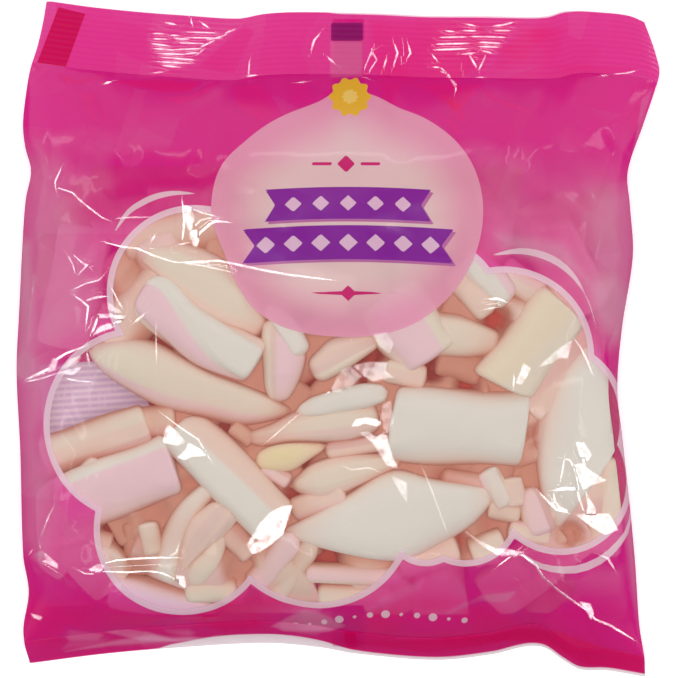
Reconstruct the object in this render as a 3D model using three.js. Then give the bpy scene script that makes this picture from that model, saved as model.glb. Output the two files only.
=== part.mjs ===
// A sealed pillow bag of marshmallows, lying on its back with the printed side up.
// Millimetres, +Z up, +Y towards the top seal, origin under the middle of the bag.
// The bag is one closed solid: a filled pillow between two crimped end seals. The sweets that lie
// against the front film press their shapes through it, and the long back seal stands out below.
import * as THREE from "three";

// ---- Driving dimensions ----

const CROWN = 52; // highest point of the film before any sweet lifts it
const SIDE_FOLD = 19; // height of the side folds, where front film and back film meet
const SHEET = 0.8; // thickness of the welded seals
const TOP_SEAL = 24; // depth of the crimped band at the top
const BOTTOM_SEAL = 9; // depth of the lower band as seen from above, since it slopes down
const TOP_LIP = 4.5; // height of the top seal's cut edge
const TOP_WELD = 11; // height of the top seal's inner edge
const BOTTOM_LIP = 0.5; // height of the bottom seal's cut edge
const BOTTOM_WELD = 12; // height of the bottom seal's inner edge
const CRIMP_HEIGHT = 0.35; // height of the seal's ribs above and below its middle
const CRIMP_PITCH = 2.1; // from one rib to the next
const BACK_SEAL = { x: 4, width: 12, depth: 0.6 }; // the long seal under the bag stands out by its depth
const BACK_SEAL_EDGE = 0.2; // the step at each side of the back seal is this wide
const SWEET_LIFT = 4; // how far a sweet under the film raises it
const SWEET_BLEND = 1.6; // softness of the line where the film leaves a sweet
const LIFT_FROM = 13; // the sweets show in full where the pillow is this thick above its fold

// The cross-section: a higher squareness is flatter in the middle and steeper at the side folds.
const SQUARENESS = 2.8;
const FRONT_ROUNDNESS = 0.5;
const BACK_ROUNDNESS = 0.75;
const BACK_HANG = 1.4; // how steeply the back film drops to the table, against the front film's rise

// How the filled part swells out from each seal, as the distance over which it reaches full height.
const SWELL_FROM_TOP = 105;
const SWELL_FROM_BOTTOM = 46;
// The side folds climb to their height over this distance from each seal.
const FOLD_RUN = 34;

// Steps of the mesh. The back film is plainer than the front, so it takes every second line.
const COLUMNS = 56;
const BODY_ROWS = 42;
const BOTTOM_SEAL_ROWS = 6;
const BACK_STEP = 2;
const SIDE_CROWDING = 0.45; // 0 spaces the columns evenly, 1 crowds them at the side folds

// ---- Outline: the wavy edges of the flat film ----

const TOP_EDGE = [
  [-120, 129.7],
  [-100, 127.2],
  [-65, 124.2],
  [-43, 122.9],
  [-32, 124.8],
  [-20, 125.6],
  [14, 125.1],
  [36, 124.1],
  [74, 123.6],
  [84, 124.1],
  [92, 126],
  [110, 125.1],
  [118, 123.8],
  [123, 121.4],
];
const BOTTOM_EDGE = [
  [-121, -124.4],
  [-93, -121],
  [-66, -118.7],
  [-27, -116.7],
  [-5, -118.4],
  [8, -120.7],
  [40, -123.2],
  [63, -121],
  [74, -118.5],
  [80, -117.8],
  [85, -118.8],
  [91, -123.3],
  [97, -126.8],
  [108, -127.3],
  [122, -129.6],
];
const LEFT_EDGE = [
  [-128, -118],
  [-119, -119.4],
  [-110, -120.1],
  [-96, -117.8],
  [-82, -119.7],
  [-42, -120.8],
  [-12, -122.2],
  [11, -121.2],
  [41, -119.7],
  [54, -118.6],
  [64, -116.7],
  [73, -118.9],
  [82, -119.9],
  [94, -119],
  [103, -117.6],
  [112, -115],
  [121, -113.1],
  [130, -111.8],
];
const RIGHT_EDGE = [
  [-130, 118.3],
  [-120, 116.8],
  [-108, 114.8],
  [-80, 112.5],
  [-37, 107.9],
  [-19, 106],
  [4, 107.9],
  [32, 112.1],
  [51, 111],
  [64, 110.2],
  [82, 116.3],
  [94, 120.5],
  [102, 122.7],
  [109, 121.4],
  [115, 119.6],
  [121.5, 117.3],
  [130, 114.5],
];

// ---- Sweets that lie against the front film: both ends of each, and its width ----

const SWEETS = [
  { from: [23, -32], to: [72, -34], width: 29 },
  { from: [-12, -67], to: [54, -58], width: 27 },
  { from: [57, -14], to: [84, 14], width: 24 },
  { from: [96, -5], to: [83, -68], width: 25 },
  { from: [-98, -60], to: [-62, -46], width: 25 },
  { from: [-90, -8], to: [-20, -22], width: 20 },
  { from: [-74, 16], to: [-31, -8], width: 20 },
  { from: [-68, 29], to: [-33, 11], width: 23 },
  { from: [-23, 4], to: [-20, -22], width: 16 },
  { from: [43, 7], to: [24, -9], width: 20 },
  { from: [-35, -37], to: [19, -22], width: 19 },
  { from: [-59, -35], to: [-25, -71], width: 22 },
  { from: [-50, -60], to: [-59, -89], width: 22 },
  { from: [-17, -54], to: [19, -45], width: 14 },
  { from: [18, -80], to: [66, -82], width: 20 },
  { from: [-70, 62], to: [-30, 50], width: 22 },
  { from: [40, 40], to: [78, 62], width: 22 },
];

// Broad curls of the top seal, where the flat band lifts off the table.
const CURLS = [
  { x: -46, reach: 30, height: 4 },
  { x: 56, reach: 28, height: 4.5 },
  { x: 118, reach: 30, height: 3 },
];

// Puckers: shallow grooves that run in from the seals, where the film is gathered.
const PUCKERS = [
  { from: [-96, 104], to: [-78, 70], width: 11, depth: 3 },
  { from: [-44, 102], to: [-52, 66], width: 12, depth: 2.5 },
  { from: [20, 101], to: [24, 72], width: 12, depth: 2.5 },
  { from: [78, 102], to: [68, 68], width: 12, depth: 3 },
  { from: [106, 96], to: [88, 76], width: 11, depth: 3 },
  { from: [-94, -112], to: [-84, -88], width: 11, depth: 3 },
  { from: [-34, -108], to: [-30, -90], width: 10, depth: 2.2 },
  { from: [30, -112], to: [26, -92], width: 10, depth: 2.4 },
  { from: [82, -112], to: [72, -86], width: 13, depth: 3.6 },
];

// ---- Curves ----

const clamp = THREE.MathUtils.clamp;
const lerp = THREE.MathUtils.lerp;
const smooth = (t) => THREE.MathUtils.smoothstep(t, 0, 1);

// A smooth curve through [s, value] points, held level beyond its ends.
function through(points) {
  const slope = points.map((_, i) => {
    const before = points[Math.max(i - 1, 0)];
    const after = points[Math.min(i + 1, points.length - 1)];
    return (after[1] - before[1]) / (after[0] - before[0]);
  });
  return (s) => {
    const at = clamp(s, points[0][0], points[points.length - 1][0]);
    const k = clamp(
      points.findIndex((p) => p[0] >= at) - 1,
      0,
      points.length - 2,
    );
    const step = points[k + 1][0] - points[k][0];
    const t = (at - points[k][0]) / step;
    const bow = t * (1 - t);
    return (
      lerp(points[k][1], points[k + 1][1], smooth(t)) +
      step * bow * ((1 - t) * slope[k] - t * slope[k + 1])
    );
  };
}

const topEdge = through(TOP_EDGE);
const bottomEdge = through(BOTTOM_EDGE);
const leftEdge = through(LEFT_EDGE);
const rightEdge = through(RIGHT_EDGE);
// The widest x on either side, which the shares of the width are counted over along the end edges.
const WIDEST_LEFT = Math.min(...LEFT_EDGE.map((p) => p[1]));
const WIDEST_RIGHT = Math.max(...RIGHT_EDGE.map((p) => p[1]));

// A rounded rise from 0 at a seal to 1 where the bag is full.
function swellOver(distance, run) {
  const t = clamp(distance / run, 0, 1);
  return Math.pow(1 - (1 - t) * (1 - t), 0.8);
}

function smoothMax(a, b, blend) {
  const h = clamp(0.5 + (0.5 * (a - b)) / blend, 0, 1);
  return lerp(b, a, h) + blend * h * (1 - h);
}

// ---- Heights ----

// How far the flat seal at the top is curled up at this x.
function curl(x) {
  return CURLS.reduce((sum, c) => {
    const t = Math.abs(x - c.x) / c.reach;
    return sum + c.height * (t < 1 ? 1 - smooth(t) : 0);
  }, 0);
}

// The height of the side folds and of the seals, by the distances to the top and bottom cut edges.
function foldHeight(x, toTop, toBottom) {
  if (toTop < TOP_SEAL)
    return lerp(TOP_LIP, TOP_WELD, toTop / TOP_SEAL) + curl(x);
  if (toBottom < BOTTOM_SEAL)
    return lerp(BOTTOM_LIP, BOTTOM_WELD, smooth(toBottom / BOTTOM_SEAL));
  const fromTop = toTop - TOP_SEAL;
  const fromBottom = toBottom - BOTTOM_SEAL;
  const low = lerp(BOTTOM_WELD, SIDE_FOLD, smooth(fromBottom / FOLD_RUN));
  const high = lerp(TOP_WELD, SIDE_FOLD, smooth(fromTop / FOLD_RUN));
  return Math.min(low, high) + curl(x) * (1 - smooth(fromTop / FOLD_RUN));
}

// The rounded cross-section: 0 at the side folds and 1 over the middle of the bag.
function acrossRound(u, roundness) {
  return Math.pow(1 - Math.pow(Math.abs(2 * u - 1), SQUARENESS), roundness);
}

// How far a point is from the line between two points.
function distanceTo(from, to, x, y) {
  const [x0, y0] = from;
  const [x1, y1] = to;
  const run = (x1 - x0) ** 2 + (y1 - y0) ** 2;
  const along = (x - x0) * (x1 - x0) + (y - y0) * (y1 - y0);
  const t = clamp(along / run, 0, 1);
  return Math.hypot(x - lerp(x0, x1, t), y - lerp(y0, y1, t));
}

// Height of the film over one sweet, as a round bar whose crest follows the pillow.
function overSweet(x, y, sweet) {
  const aside = distanceTo(sweet.from, sweet.to, x, y);
  const radius = sweet.width / 2;
  if (aside >= radius) return -Infinity;
  return SWEET_LIFT - radius + Math.sqrt(radius * radius - aside * aside);
}

// The sweets' relief on the front film at a point, above the plain pillow.
function relief(x, y) {
  const highest = Math.max(...SWEETS.map((s) => overSweet(x, y, s)));
  return highest > -SWEET_BLEND ? smoothMax(highest, 0, SWEET_BLEND) : 0;
}

// How deep the puckers are at a point.
function pucker(x, y) {
  return PUCKERS.reduce((sum, p) => {
    const t = distanceTo(p.from, p.to, x, y) / (p.width / 2);
    return sum + p.depth * (t < 1 ? 1 - smooth(t) : 0);
  }, 0);
}

// What the front and the back film share: the height of the fold, and how full the bag is here.
function bagAt(x, toTop, toBottom) {
  const fold = foldHeight(x, toTop, toBottom);
  const full =
    swellOver(toTop - TOP_SEAL, SWELL_FROM_TOP) *
    swellOver(toBottom - BOTTOM_SEAL, SWELL_FROM_BOTTOM);
  return { fold, swell: (CROWN - fold) * full };
}

function frontHeight({ u, x, y }, { fold, swell }) {
  const pillow = swell * acrossRound(u, FRONT_ROUNDNESS);
  const shown = smooth(pillow / LIFT_FROM);
  const dressed = pillow + (relief(x, y) - pucker(x, y)) * shown;
  return fold + dressed + SHEET / 2;
}

// The back film rests on the table, but for the back seal, which stands out below it.
function backHeight({ u, x }, { fold, swell }) {
  const hang = BACK_HANG * swell * acrossRound(u, BACK_ROUNDNESS);
  const film = Math.max(BACK_SEAL.depth, fold - hang - SHEET / 2);
  const onSeal = Math.abs(x - BACK_SEAL.x) <= BACK_SEAL.width / 2;
  return onSeal ? film - BACK_SEAL.depth : film;
}

// ---- Mesh ----

// The columns, each at its share of the width, closer together at the side folds.
function frontColumns() {
  return Array.from({ length: COLUMNS + 1 }, (_, i) => {
    const crowded = 0.5 - 0.5 * Math.cos((Math.PI * i) / COLUMNS);
    return { share: lerp(i / COLUMNS, crowded, SIDE_CROWDING) };
  });
}

// The same for the back film, with the columns nearest the back seal set straight along its edges.
function backColumns() {
  const columns = frontColumns();
  const first = COLUMNS / 2 - BACK_STEP;
  const half = BACK_SEAL.width / 2;
  [-half - BACK_SEAL_EDGE, -half, half, half + BACK_SEAL_EDGE].forEach(
    (aside, i) => {
      columns[first + i * BACK_STEP] = { x: BACK_SEAL.x + aside };
    },
  );
  return columns;
}

// Rows from the bottom cut edge to the top one, each with its rib and its y at a given x.
function rowLines() {
  const topRows = Math.round(TOP_SEAL / (CRIMP_PITCH / 2));
  const rib = (i, rows) => (i % rows ? CRIMP_HEIGHT * (i % 2 ? 1 : -1) : 0);
  const lower = Array.from({ length: BOTTOM_SEAL_ROWS }, (_, i) => ({
    y: (x) => bottomEdge(x) + (BOTTOM_SEAL * i) / BOTTOM_SEAL_ROWS,
    rib: rib(i, BOTTOM_SEAL_ROWS),
  }));
  const body = Array.from({ length: BODY_ROWS }, (_, i) => ({
    y: (x) =>
      lerp(bottomEdge(x) + BOTTOM_SEAL, topEdge(x) - TOP_SEAL, i / BODY_ROWS),
    rib: 0,
  }));
  const upper = Array.from({ length: topRows + 1 }, (_, i) => ({
    y: (x) => topEdge(x) - TOP_SEAL + (TOP_SEAL * i) / topRows,
    rib: rib(i, topRows),
  }));
  return [...lower, ...body, ...upper];
}

// One layer of points, row by row.
function layerPoints(rows, columns, heightAt) {
  return rows.flatMap((row) =>
    columns.map((column) => {
      const across =
        column.x ?? lerp(WIDEST_LEFT, WIDEST_RIGHT, column.share);
      const y = row.y(across);
      const x = column.x ?? lerp(leftEdge(y), rightEdge(y), column.share);
      const u = (x - leftEdge(y)) / (rightEdge(y) - leftEdge(y));
      const here = bagAt(x, topEdge(across) - y, y - bottomEdge(across));
      return [x, y, heightAt({ u, x, y }, here) + row.rib];
    }),
  );
}

// The back film's blocks: two columns wide, and two rows high where there are no ribs.
function backBlocks(rowCount) {
  const rowStarts = Array.from({ length: rowCount }, (_, r) => r).filter((r) => {
    const inBody = r - BOTTOM_SEAL_ROWS;
    return inBody < 0 || inBody >= BODY_ROWS || inBody % BACK_STEP === 0;
  });
  return rowStarts.slice(0, -1).flatMap((low, k) =>
    Array.from({ length: COLUMNS / BACK_STEP }, (_, b) => ({
      low,
      high: rowStarts[k + 1],
      left: b * BACK_STEP,
      right: (b + 1) * BACK_STEP,
    })),
  );
}

// The points round one block, counter-clockwise from above, with those in between along the rim.
function blockRing({ low, high, left, right }, lastRow, at) {
  const ring = [at(low, left)];
  const between = (wanted, from, to, point) => {
    for (let i = from + 1; wanted && i < to; i++) ring.push(point(i));
  };
  between(low === 0, left, right, (c) => at(low, c));
  ring.push(at(low, right));
  between(right === COLUMNS, low, high, (r) => at(r, right));
  ring.push(at(high, right));
  between(high === lastRow, left, right, (c) => at(high, left + right - c));
  ring.push(at(high, left));
  between(left === 0, low, high, (r) => at(low + high - r, left));
  return ring;
}

// A block as triangles that face down, all from the corner that is off the rim.
function blockTriangles(block, lastRow, at) {
  const ring = blockRing(block, lastRow, at);
  const { low, high, left, right } = block;
  const hub = at(low === 0 ? high : low, left === 0 ? right : left);
  const start = ring.indexOf(hub);
  const turned = [...ring.slice(start + 1), ...ring.slice(0, start)];
  return turned.slice(0, -1).flatMap((point, i) => [hub, turned[i + 1], point]);
}

// Two layers of points, front over back, joined round the rim into one closed skin.
function bagGeometry() {
  const rows = rowLines();
  const lastRow = rows.length - 1;
  const wide = COLUMNS + 1;
  const front = layerPoints(rows, frontColumns(), frontHeight).map(
    ([x, y, z]) => [x, y, Math.max(z, SHEET)],
  );
  const back = layerPoints(rows, backColumns(), backHeight).map(
    ([x, y, z]) => [x, y, Math.max(z, 0)],
  );
  const above = (row, column) => row * wide + column;
  const below = (row, column) => front.length + above(row, column);
  const triangles = [];
  const quad = (a, b, c, d) => triangles.push(a, b, c, a, c, d);
  for (let r = 0; r < lastRow; r++) {
    for (let c = 0; c < COLUMNS; c++) {
      quad(above(r, c), above(r, c + 1), above(r + 1, c + 1), above(r + 1, c));
    }
    quad(above(r + 1, 0), below(r + 1, 0), below(r, 0), above(r, 0));
    quad(
      above(r, COLUMNS),
      below(r, COLUMNS),
      below(r + 1, COLUMNS),
      above(r + 1, COLUMNS),
    );
  }
  for (let c = 0; c < COLUMNS; c++) {
    quad(above(0, c), below(0, c), below(0, c + 1), above(0, c + 1));
    quad(
      above(lastRow, c + 1),
      below(lastRow, c + 1),
      below(lastRow, c),
      above(lastRow, c),
    );
  }
  for (const block of backBlocks(rows.length)) {
    triangles.push(...blockTriangles(block, lastRow, below));
  }
  const geometry = new THREE.BufferGeometry();
  const points = [...front, ...back].flat();
  geometry.setAttribute("position", new THREE.Float32BufferAttribute(points, 3));
  geometry.setIndex(triangles);
  return centred(geometry);
}

// Moves the bag so that the origin is under the middle of its box.
function centred(geometry) {
  geometry.computeBoundingBox();
  const { min, max } = geometry.boundingBox;
  geometry.translate(-(min.x + max.x) / 2, -(min.y + max.y) / 2, -min.z);
  geometry.computeVertexNormals();
  return geometry;
}

// ---- The part ----

const film = new THREE.MeshStandardMaterial({
  color: 0xd6307f,
  roughness: 0.3,
  metalness: 0,
});

const marshmallowBag = new THREE.Group();
const bag = new THREE.Mesh(bagGeometry(), film);
bag.name = "marshmallow_bag";
marshmallowBag.add(bag);

export default marshmallowBag;
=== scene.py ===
# A bag of marshmallows: printed see-through film with a clear window, and the sweets inside.
# Lengths are millimetres unless a name says otherwise; meshes are made in metres.
import math

import bpy
import numpy as np
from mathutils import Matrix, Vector


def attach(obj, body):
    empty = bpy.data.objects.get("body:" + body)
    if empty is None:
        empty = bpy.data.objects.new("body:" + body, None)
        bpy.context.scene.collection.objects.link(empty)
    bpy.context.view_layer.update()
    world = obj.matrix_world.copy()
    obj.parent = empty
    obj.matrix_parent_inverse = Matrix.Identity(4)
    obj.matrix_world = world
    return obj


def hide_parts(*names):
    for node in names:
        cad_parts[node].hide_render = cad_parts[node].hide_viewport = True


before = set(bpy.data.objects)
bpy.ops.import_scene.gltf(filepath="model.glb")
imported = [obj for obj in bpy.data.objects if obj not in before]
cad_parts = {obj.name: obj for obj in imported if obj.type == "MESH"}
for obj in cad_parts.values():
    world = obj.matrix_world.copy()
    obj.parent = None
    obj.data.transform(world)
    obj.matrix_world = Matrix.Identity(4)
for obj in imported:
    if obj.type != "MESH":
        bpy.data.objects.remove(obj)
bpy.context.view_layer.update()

MM = 0.001
NODE = "marshmallow_bag"
# The outline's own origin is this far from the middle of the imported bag.
MIDDLE = np.array([0.25, 0.05])

# Places on the bag are given as (column, row) of a fine grid, from the top left corner.
GRID = 0.38
GRID_MIDDLE = (338.0, 339.5)


def spot(column, row):
    """The x and y of a place on the grid."""
    return np.array([(column - GRID_MIDDLE[0]) * GRID, (GRID_MIDDLE[1] - row) * GRID])


def spots(places):
    return [spot(*place) for place in places]


def column_x(column):
    return spot(column, 0)[0]


def row_y(row):
    return spot(0, row)[1]


def linear(rgb):
    c = np.array(rgb, float) / 255
    return np.where(c <= 0.04045, c / 12.92, ((c + 0.055) / 1.055) ** 2.4)


def rgba(rgb):
    return (*[float(v) for v in linear(rgb)], 1.0)


# ---------------------------------------------------------------- curves and distances


def lerp(a, b, t):
    return a + (b - a) * t


def smooth(t):
    t = np.clip(t, 0.0, 1.0)
    return t * t * (3 - 2 * t)


def through(points):
    """A smooth curve through (s, value) points, held level beyond its ends."""
    s, v = np.array(points, float).T
    before, after = np.r_[0, np.arange(len(s) - 1)], np.r_[1 : len(s), len(s) - 1]
    slope = (v[after] - v[before]) / (s[after] - s[before])

    def at(q):
        q = np.clip(q, s[0], s[-1])
        k = np.clip(np.searchsorted(s, q, side="left") - 1, 0, len(s) - 2)
        step = s[k + 1] - s[k]
        t = (q - s[k]) / step
        bow = step * t * (1 - t) * ((1 - t) * slope[k] - t * slope[k + 1])
        return lerp(v[k], v[k + 1], smooth(t)) + bow

    return at


def arc(points, steps=14):
    """Points of a smooth curve through a few points on the grid."""
    k = np.linspace(0, len(points) - 1, steps)
    column, row = (through(list(enumerate(values))) for values in zip(*points))
    return list(zip(column(k), row(k)))


def near_box(points, room, x, y):
    """Which places lie within some room of the box round a shape."""
    lows, highs = np.min(points, 0) - room, np.max(points, 0) + room
    return np.flatnonzero((x > lows[0]) & (x < highs[0]) & (y > lows[1]) & (y < highs[1]))


def to_segment(p, q, x, y):
    """Distance from places to a segment, the share along it, and the side as 1 or -1."""
    d = np.subtract(q, p)
    run = max(float(d @ d), 1e-9)
    t = np.clip(((x - p[0]) * d[0] + (y - p[1]) * d[1]) / run, 0, 1)
    dx, dy = x - p[0] - t * d[0], y - p[1] - t * d[1]
    side = np.where(d[0] * dy - d[1] * dx >= 0, 1.0, -1.0)
    return np.hypot(dx, dy), t, side


def to_line(points, x, y):
    """Signed distance from places to a line through points, and the share along it."""
    reach = np.r_[0, np.cumsum([np.hypot(*(q - p)) for p, q in zip(points, points[1:])])]
    best, signed, along = np.full_like(x, 1e9), np.full_like(x, 1e9), np.zeros_like(x)
    for k, (p, q) in enumerate(zip(points, points[1:])):
        d, t, side = to_segment(p, q, x, y)
        closer = d < best
        best = np.where(closer, d, best)
        signed = np.where(closer, side * d, signed)
        along = np.where(closer, lerp(reach[k], reach[k + 1], t) / reach[-1], along)
    return signed, along


def stroke_width(half, along):
    """Half the width of a stroke that runs out at both ends."""
    return half * np.sin(np.pi * along) ** 0.7


def away_from(place, x, y):
    """Distance from a place on the grid."""
    cx, cy = spot(*place)
    return np.hypot(x - cx, y - cy)


# Distances to a polygon are only worked out this near to it.
POLYGON_REACH = 12


def polygon_distance(corners, x, y):
    """Distance to a closed outline on the grid, below 0 inside it."""
    points = np.array(spots(corners))
    near = near_box(points, POLYGON_REACH, x, y)
    px, py = x[near], y[near]
    best, inside = np.full(len(near), float(POLYGON_REACH)), np.zeros(len(near), bool)
    for p, q in zip(points, np.roll(points, -1, axis=0)):
        best = np.minimum(best, to_segment(p, q, px, py)[0])
        if p[1] != q[1]:
            crossing = p[0] + (py - p[1]) / (q[1] - p[1]) * (q[0] - p[0])
            inside ^= ((p[1] > py) != (q[1] > py)) & (px < crossing)
    distance = np.full_like(x, POLYGON_REACH)
    distance[near] = np.where(inside, -best, best)
    return distance


# ---------------------------------------------------------------- the bag's outline and pillow

CROWN = 52
SIDE_FOLD = 19
SHEET = 0.8
TOP_SEAL, TOP_LIP, TOP_WELD = 24, 4.5, 11
BOTTOM_SEAL, BOTTOM_LIP, BOTTOM_WELD = 9, 0.5, 12
BACK_SEAL_X, BACK_SEAL_WIDTH, BACK_SEAL_DEPTH = 4, 12, 0.6
SQUARENESS, FRONT_ROUNDNESS, BACK_ROUNDNESS, BACK_HANG = 2.8, 0.5, 0.75, 1.4
SWELL_FROM_TOP, SWELL_FROM_BOTTOM, FOLD_RUN = 105, 46, 34
# How far the highest sweets stand above the plain pillow, once it is this high.
LIFT, LIFTED_FROM = 3.0, 13

top_edge = through([
    (-120, 129.7), (-100, 127.2), (-65, 124.2), (-43, 122.9), (-32, 124.8), (-20, 125.6), (14, 125.1),
    (36, 124.1), (74, 123.6), (84, 124.1), (92, 126), (110, 125.1), (118, 123.8), (123, 121.4),
])
bottom_edge = through([
    (-121, -124.4), (-93, -121), (-66, -118.7), (-27, -116.7), (-5, -118.4), (8, -120.7), (40, -123.2),
    (63, -121), (74, -118.5), (80, -117.8), (85, -118.8), (91, -123.3), (97, -126.8), (108, -127.3),
    (122, -129.6),
])
left_edge = through([
    (-128, -118), (-119, -119.4), (-110, -120.1), (-96, -117.8), (-82, -119.7), (-42, -120.8),
    (-12, -122.2), (11, -121.2), (41, -119.7), (54, -118.6), (64, -116.7), (73, -118.9), (82, -119.9),
    (94, -119), (103, -117.6), (112, -115), (121, -113.1), (130, -111.8),
])
right_edge = through([
    (-130, 118.3), (-120, 116.8), (-108, 114.8), (-80, 112.5), (-37, 107.9), (-19, 106), (4, 107.9),
    (32, 112.1), (51, 111), (64, 110.2), (82, 116.3), (94, 120.5), (102, 122.7), (109, 121.4), (115, 119.6),
    (121.5, 117.3), (130, 114.5),
])
WIDEST_LEFT, WIDEST_RIGHT = -122.2, 122.7

# Broad curls of the top seal: x, reach, height.
CURLS = [(-46, 30, 4), (56, 28, 4.5), (118, 30, 3)]
# Puckers that run in from the seals: from, to, half width, depth.
PUCKERS = [
    ((-96, 104), (-78, 70), 5.5, 1.2),
    ((-44, 102), (-52, 66), 6, 1.0),
    ((20, 101), (24, 72), 6, 1.0),
    ((78, 102), (68, 68), 6, 1.2),
    ((106, 96), (88, 76), 5.5, 1.2),
    ((-94, -112), (-84, -88), 5.5, 1.2),
    ((-34, -108), (-30, -90), 5, 0.88),
    ((30, -112), (26, -92), 5, 0.96),
    ((82, -112), (72, -86), 6.5, 1.44),
]


def top_weld(x):
    return top_edge(x) - TOP_SEAL


def bottom_weld(x):
    return bottom_edge(x) + BOTTOM_SEAL


def swell_over(distance, run):
    """How the pillow swells with the distance from a seal."""
    t = np.clip(distance / run, 0, 1)
    return (1 - (1 - t) ** 2) ** 0.8


def curl(x):
    """How far the top seal curls up."""
    return sum(h * (1 - smooth(np.abs(x - c) / reach)) for c, reach, h in CURLS)


def fold_height(x, to_top, to_bottom):
    """Height of the fold along the bag's rim, where the front and the back meet."""
    from_top, from_bottom = to_top - TOP_SEAL, to_bottom - BOTTOM_SEAL
    low = lerp(BOTTOM_WELD, SIDE_FOLD, smooth(from_bottom / FOLD_RUN))
    high = lerp(TOP_WELD, SIDE_FOLD, smooth(from_top / FOLD_RUN))
    body = np.minimum(low, high) + curl(x) * (1 - smooth(from_top / FOLD_RUN))
    upper = lerp(TOP_LIP, TOP_WELD, to_top / TOP_SEAL) + curl(x)
    lower = lerp(BOTTOM_LIP, BOTTOM_WELD, smooth(to_bottom / BOTTOM_SEAL))
    return np.where(to_top < TOP_SEAL, upper, np.where(to_bottom < BOTTOM_SEAL, lower, body))


def across_round(u, roundness):
    """How full the pillow is across its width."""
    return (1 - np.minimum(np.abs(2 * u - 1), 1) ** SQUARENESS) ** roundness


class Place:
    """Points of the flat film: their x and y, and what the bag is like there."""

    def __init__(self, x, y, u=None):
        self.x, self.y = x, y
        left, right = left_edge(y), right_edge(y)
        self.u = np.clip((x - left) / (right - left), 0, 1) if u is None else u
        self.across = lerp(WIDEST_LEFT, WIDEST_RIGHT, self.u)
        self.to_top, self.to_bottom = top_edge(self.across) - y, y - bottom_edge(self.across)
        from_top, from_bottom = self.to_top - TOP_SEAL, self.to_bottom - BOTTOM_SEAL
        self.to_seal = np.minimum(from_top, from_bottom)
        self.fold = fold_height(x, self.to_top, self.to_bottom)
        full = swell_over(from_top, SWELL_FROM_TOP) * swell_over(from_bottom, SWELL_FROM_BOTTOM)
        self.swell = (CROWN - self.fold) * full
        self.pillow = self.swell * across_round(self.u, FRONT_ROUNDNESS)
        self.shown = smooth(self.pillow / LIFTED_FROM)
        self.inside = (self.to_top > 0) & (self.to_bottom > 0) & (x > left) & (x < right)

    def front(self):
        """Height of the plain front film, with its puckers."""
        pucker = sum(
            depth * (1 - smooth(to_segment(p, q, self.x, self.y)[0] / half)) for p, q, half, depth in PUCKERS
        )
        return self.fold + self.pillow - pucker * self.shown + SHEET / 2

    def back(self):
        """Height of the plain back film."""
        hang = BACK_HANG * self.swell * across_round(self.u, BACK_ROUNDNESS)
        return np.maximum(BACK_SEAL_DEPTH, self.fold - hang - SHEET / 2)


# ---------------------------------------------------------------- meshes

# How strongly a sheet's columns crowd towards the side folds.
CROWDING = 0.45


def add_mesh(name, points, face_groups, tints=None, values=None):
    """A mesh object from points, and one array of faces for each number of corners."""
    mesh = bpy.data.meshes.new(name)
    mesh.vertices.add(len(points))
    mesh.vertices.foreach_set("co", ((points - [*MIDDLE, 0]) * MM).ravel())
    corners = np.concatenate([faces.ravel() for faces in face_groups])
    sizes = np.concatenate([np.full(len(faces), faces.shape[1]) for faces in face_groups])
    mesh.loops.add(len(corners))
    mesh.loops.foreach_set("vertex_index", corners.astype(np.int32))
    mesh.polygons.add(len(sizes))
    mesh.polygons.foreach_set("loop_start", np.r_[0, np.cumsum(sizes)[:-1]].astype(np.int32))
    mesh.update(calc_edges=True)
    mesh.validate()
    mesh.polygons.foreach_set("use_smooth", np.ones(len(mesh.polygons), bool))
    if tints is not None:
        layer = mesh.color_attributes.new("tint", "FLOAT_COLOR", "POINT")
        layer.data.foreach_set("color", np.c_[tints, np.ones(len(tints))].astype(np.float32).ravel())
    for key, value in (values or {}).items():
        kind, field = ("FLOAT", "value") if value.ndim == 1 else ("FLOAT_VECTOR", "vector")
        mesh.attributes.new(key, kind, "POINT").data.foreach_set(field, value.astype(np.float32).ravel())
    piece = bpy.data.objects.new(name, mesh)
    bpy.context.collection.objects.link(piece)
    return piece


def grid_faces(rows, columns, up=True):
    """Quads over a grid of points, row by row."""
    r, c = np.meshgrid(np.arange(rows - 1), np.arange(columns - 1), indexing="ij")
    a = (r * columns + c).ravel()
    quads = np.stack([a, a + 1, a + 1 + columns, a + columns], 1)
    return quads if up else quads[:, ::-1]


def sheet_places(low, high, rows, columns):
    """Places over the bag between two curves across it, row by row."""
    i = np.arange(columns) / (columns - 1)
    share = lerp(i, 0.5 - 0.5 * np.cos(np.pi * i), CROWDING)
    across = lerp(WIDEST_LEFT, WIDEST_RIGHT, share)
    y = lerp(low(across), high(across), np.linspace(0, 1, rows)[:, None])
    u = np.broadcast_to(share, y.shape)
    x = lerp(left_edge(y), right_edge(y), u)
    return Place(x.ravel(), y.ravel(), u.ravel())


# ---------------------------------------------------------------- sweets

# The darker cream and the darker pink are painted shade, for sweets that lie in shade.
TINT = {
    name: linear(rgb)
    for name, rgb in {
        "white": (232, 224, 213),
        "cream": (232, 217, 197),
        "yellow": (236, 218, 192),
        "pink": (240, 202, 208),
        "mauve": (238, 202, 224),
        "peach": (236, 206, 190),
        "tan": (220, 188, 164),
        "shaded_pink": (220, 162, 164),
        "blush": (230, 198, 188),
        "lemon": (238, 218, 168),
    }.items()
}
# Painted shade and warm bounce light between the sweets: their tints turn warmer, redder and darker the
# deeper they lie below the film. For each step: how far below the film it starts and is full, its share, and
# its colour.
DEPTH_SHADE_TINTS = [
    (1.5, 6.0, 0.5, (238, 204, 188)),
    (4.5, 10.0, 0.88, (208, 136, 110)),
    (13.5, 22.0, 0.9, (196, 50, 34)),
]
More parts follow.
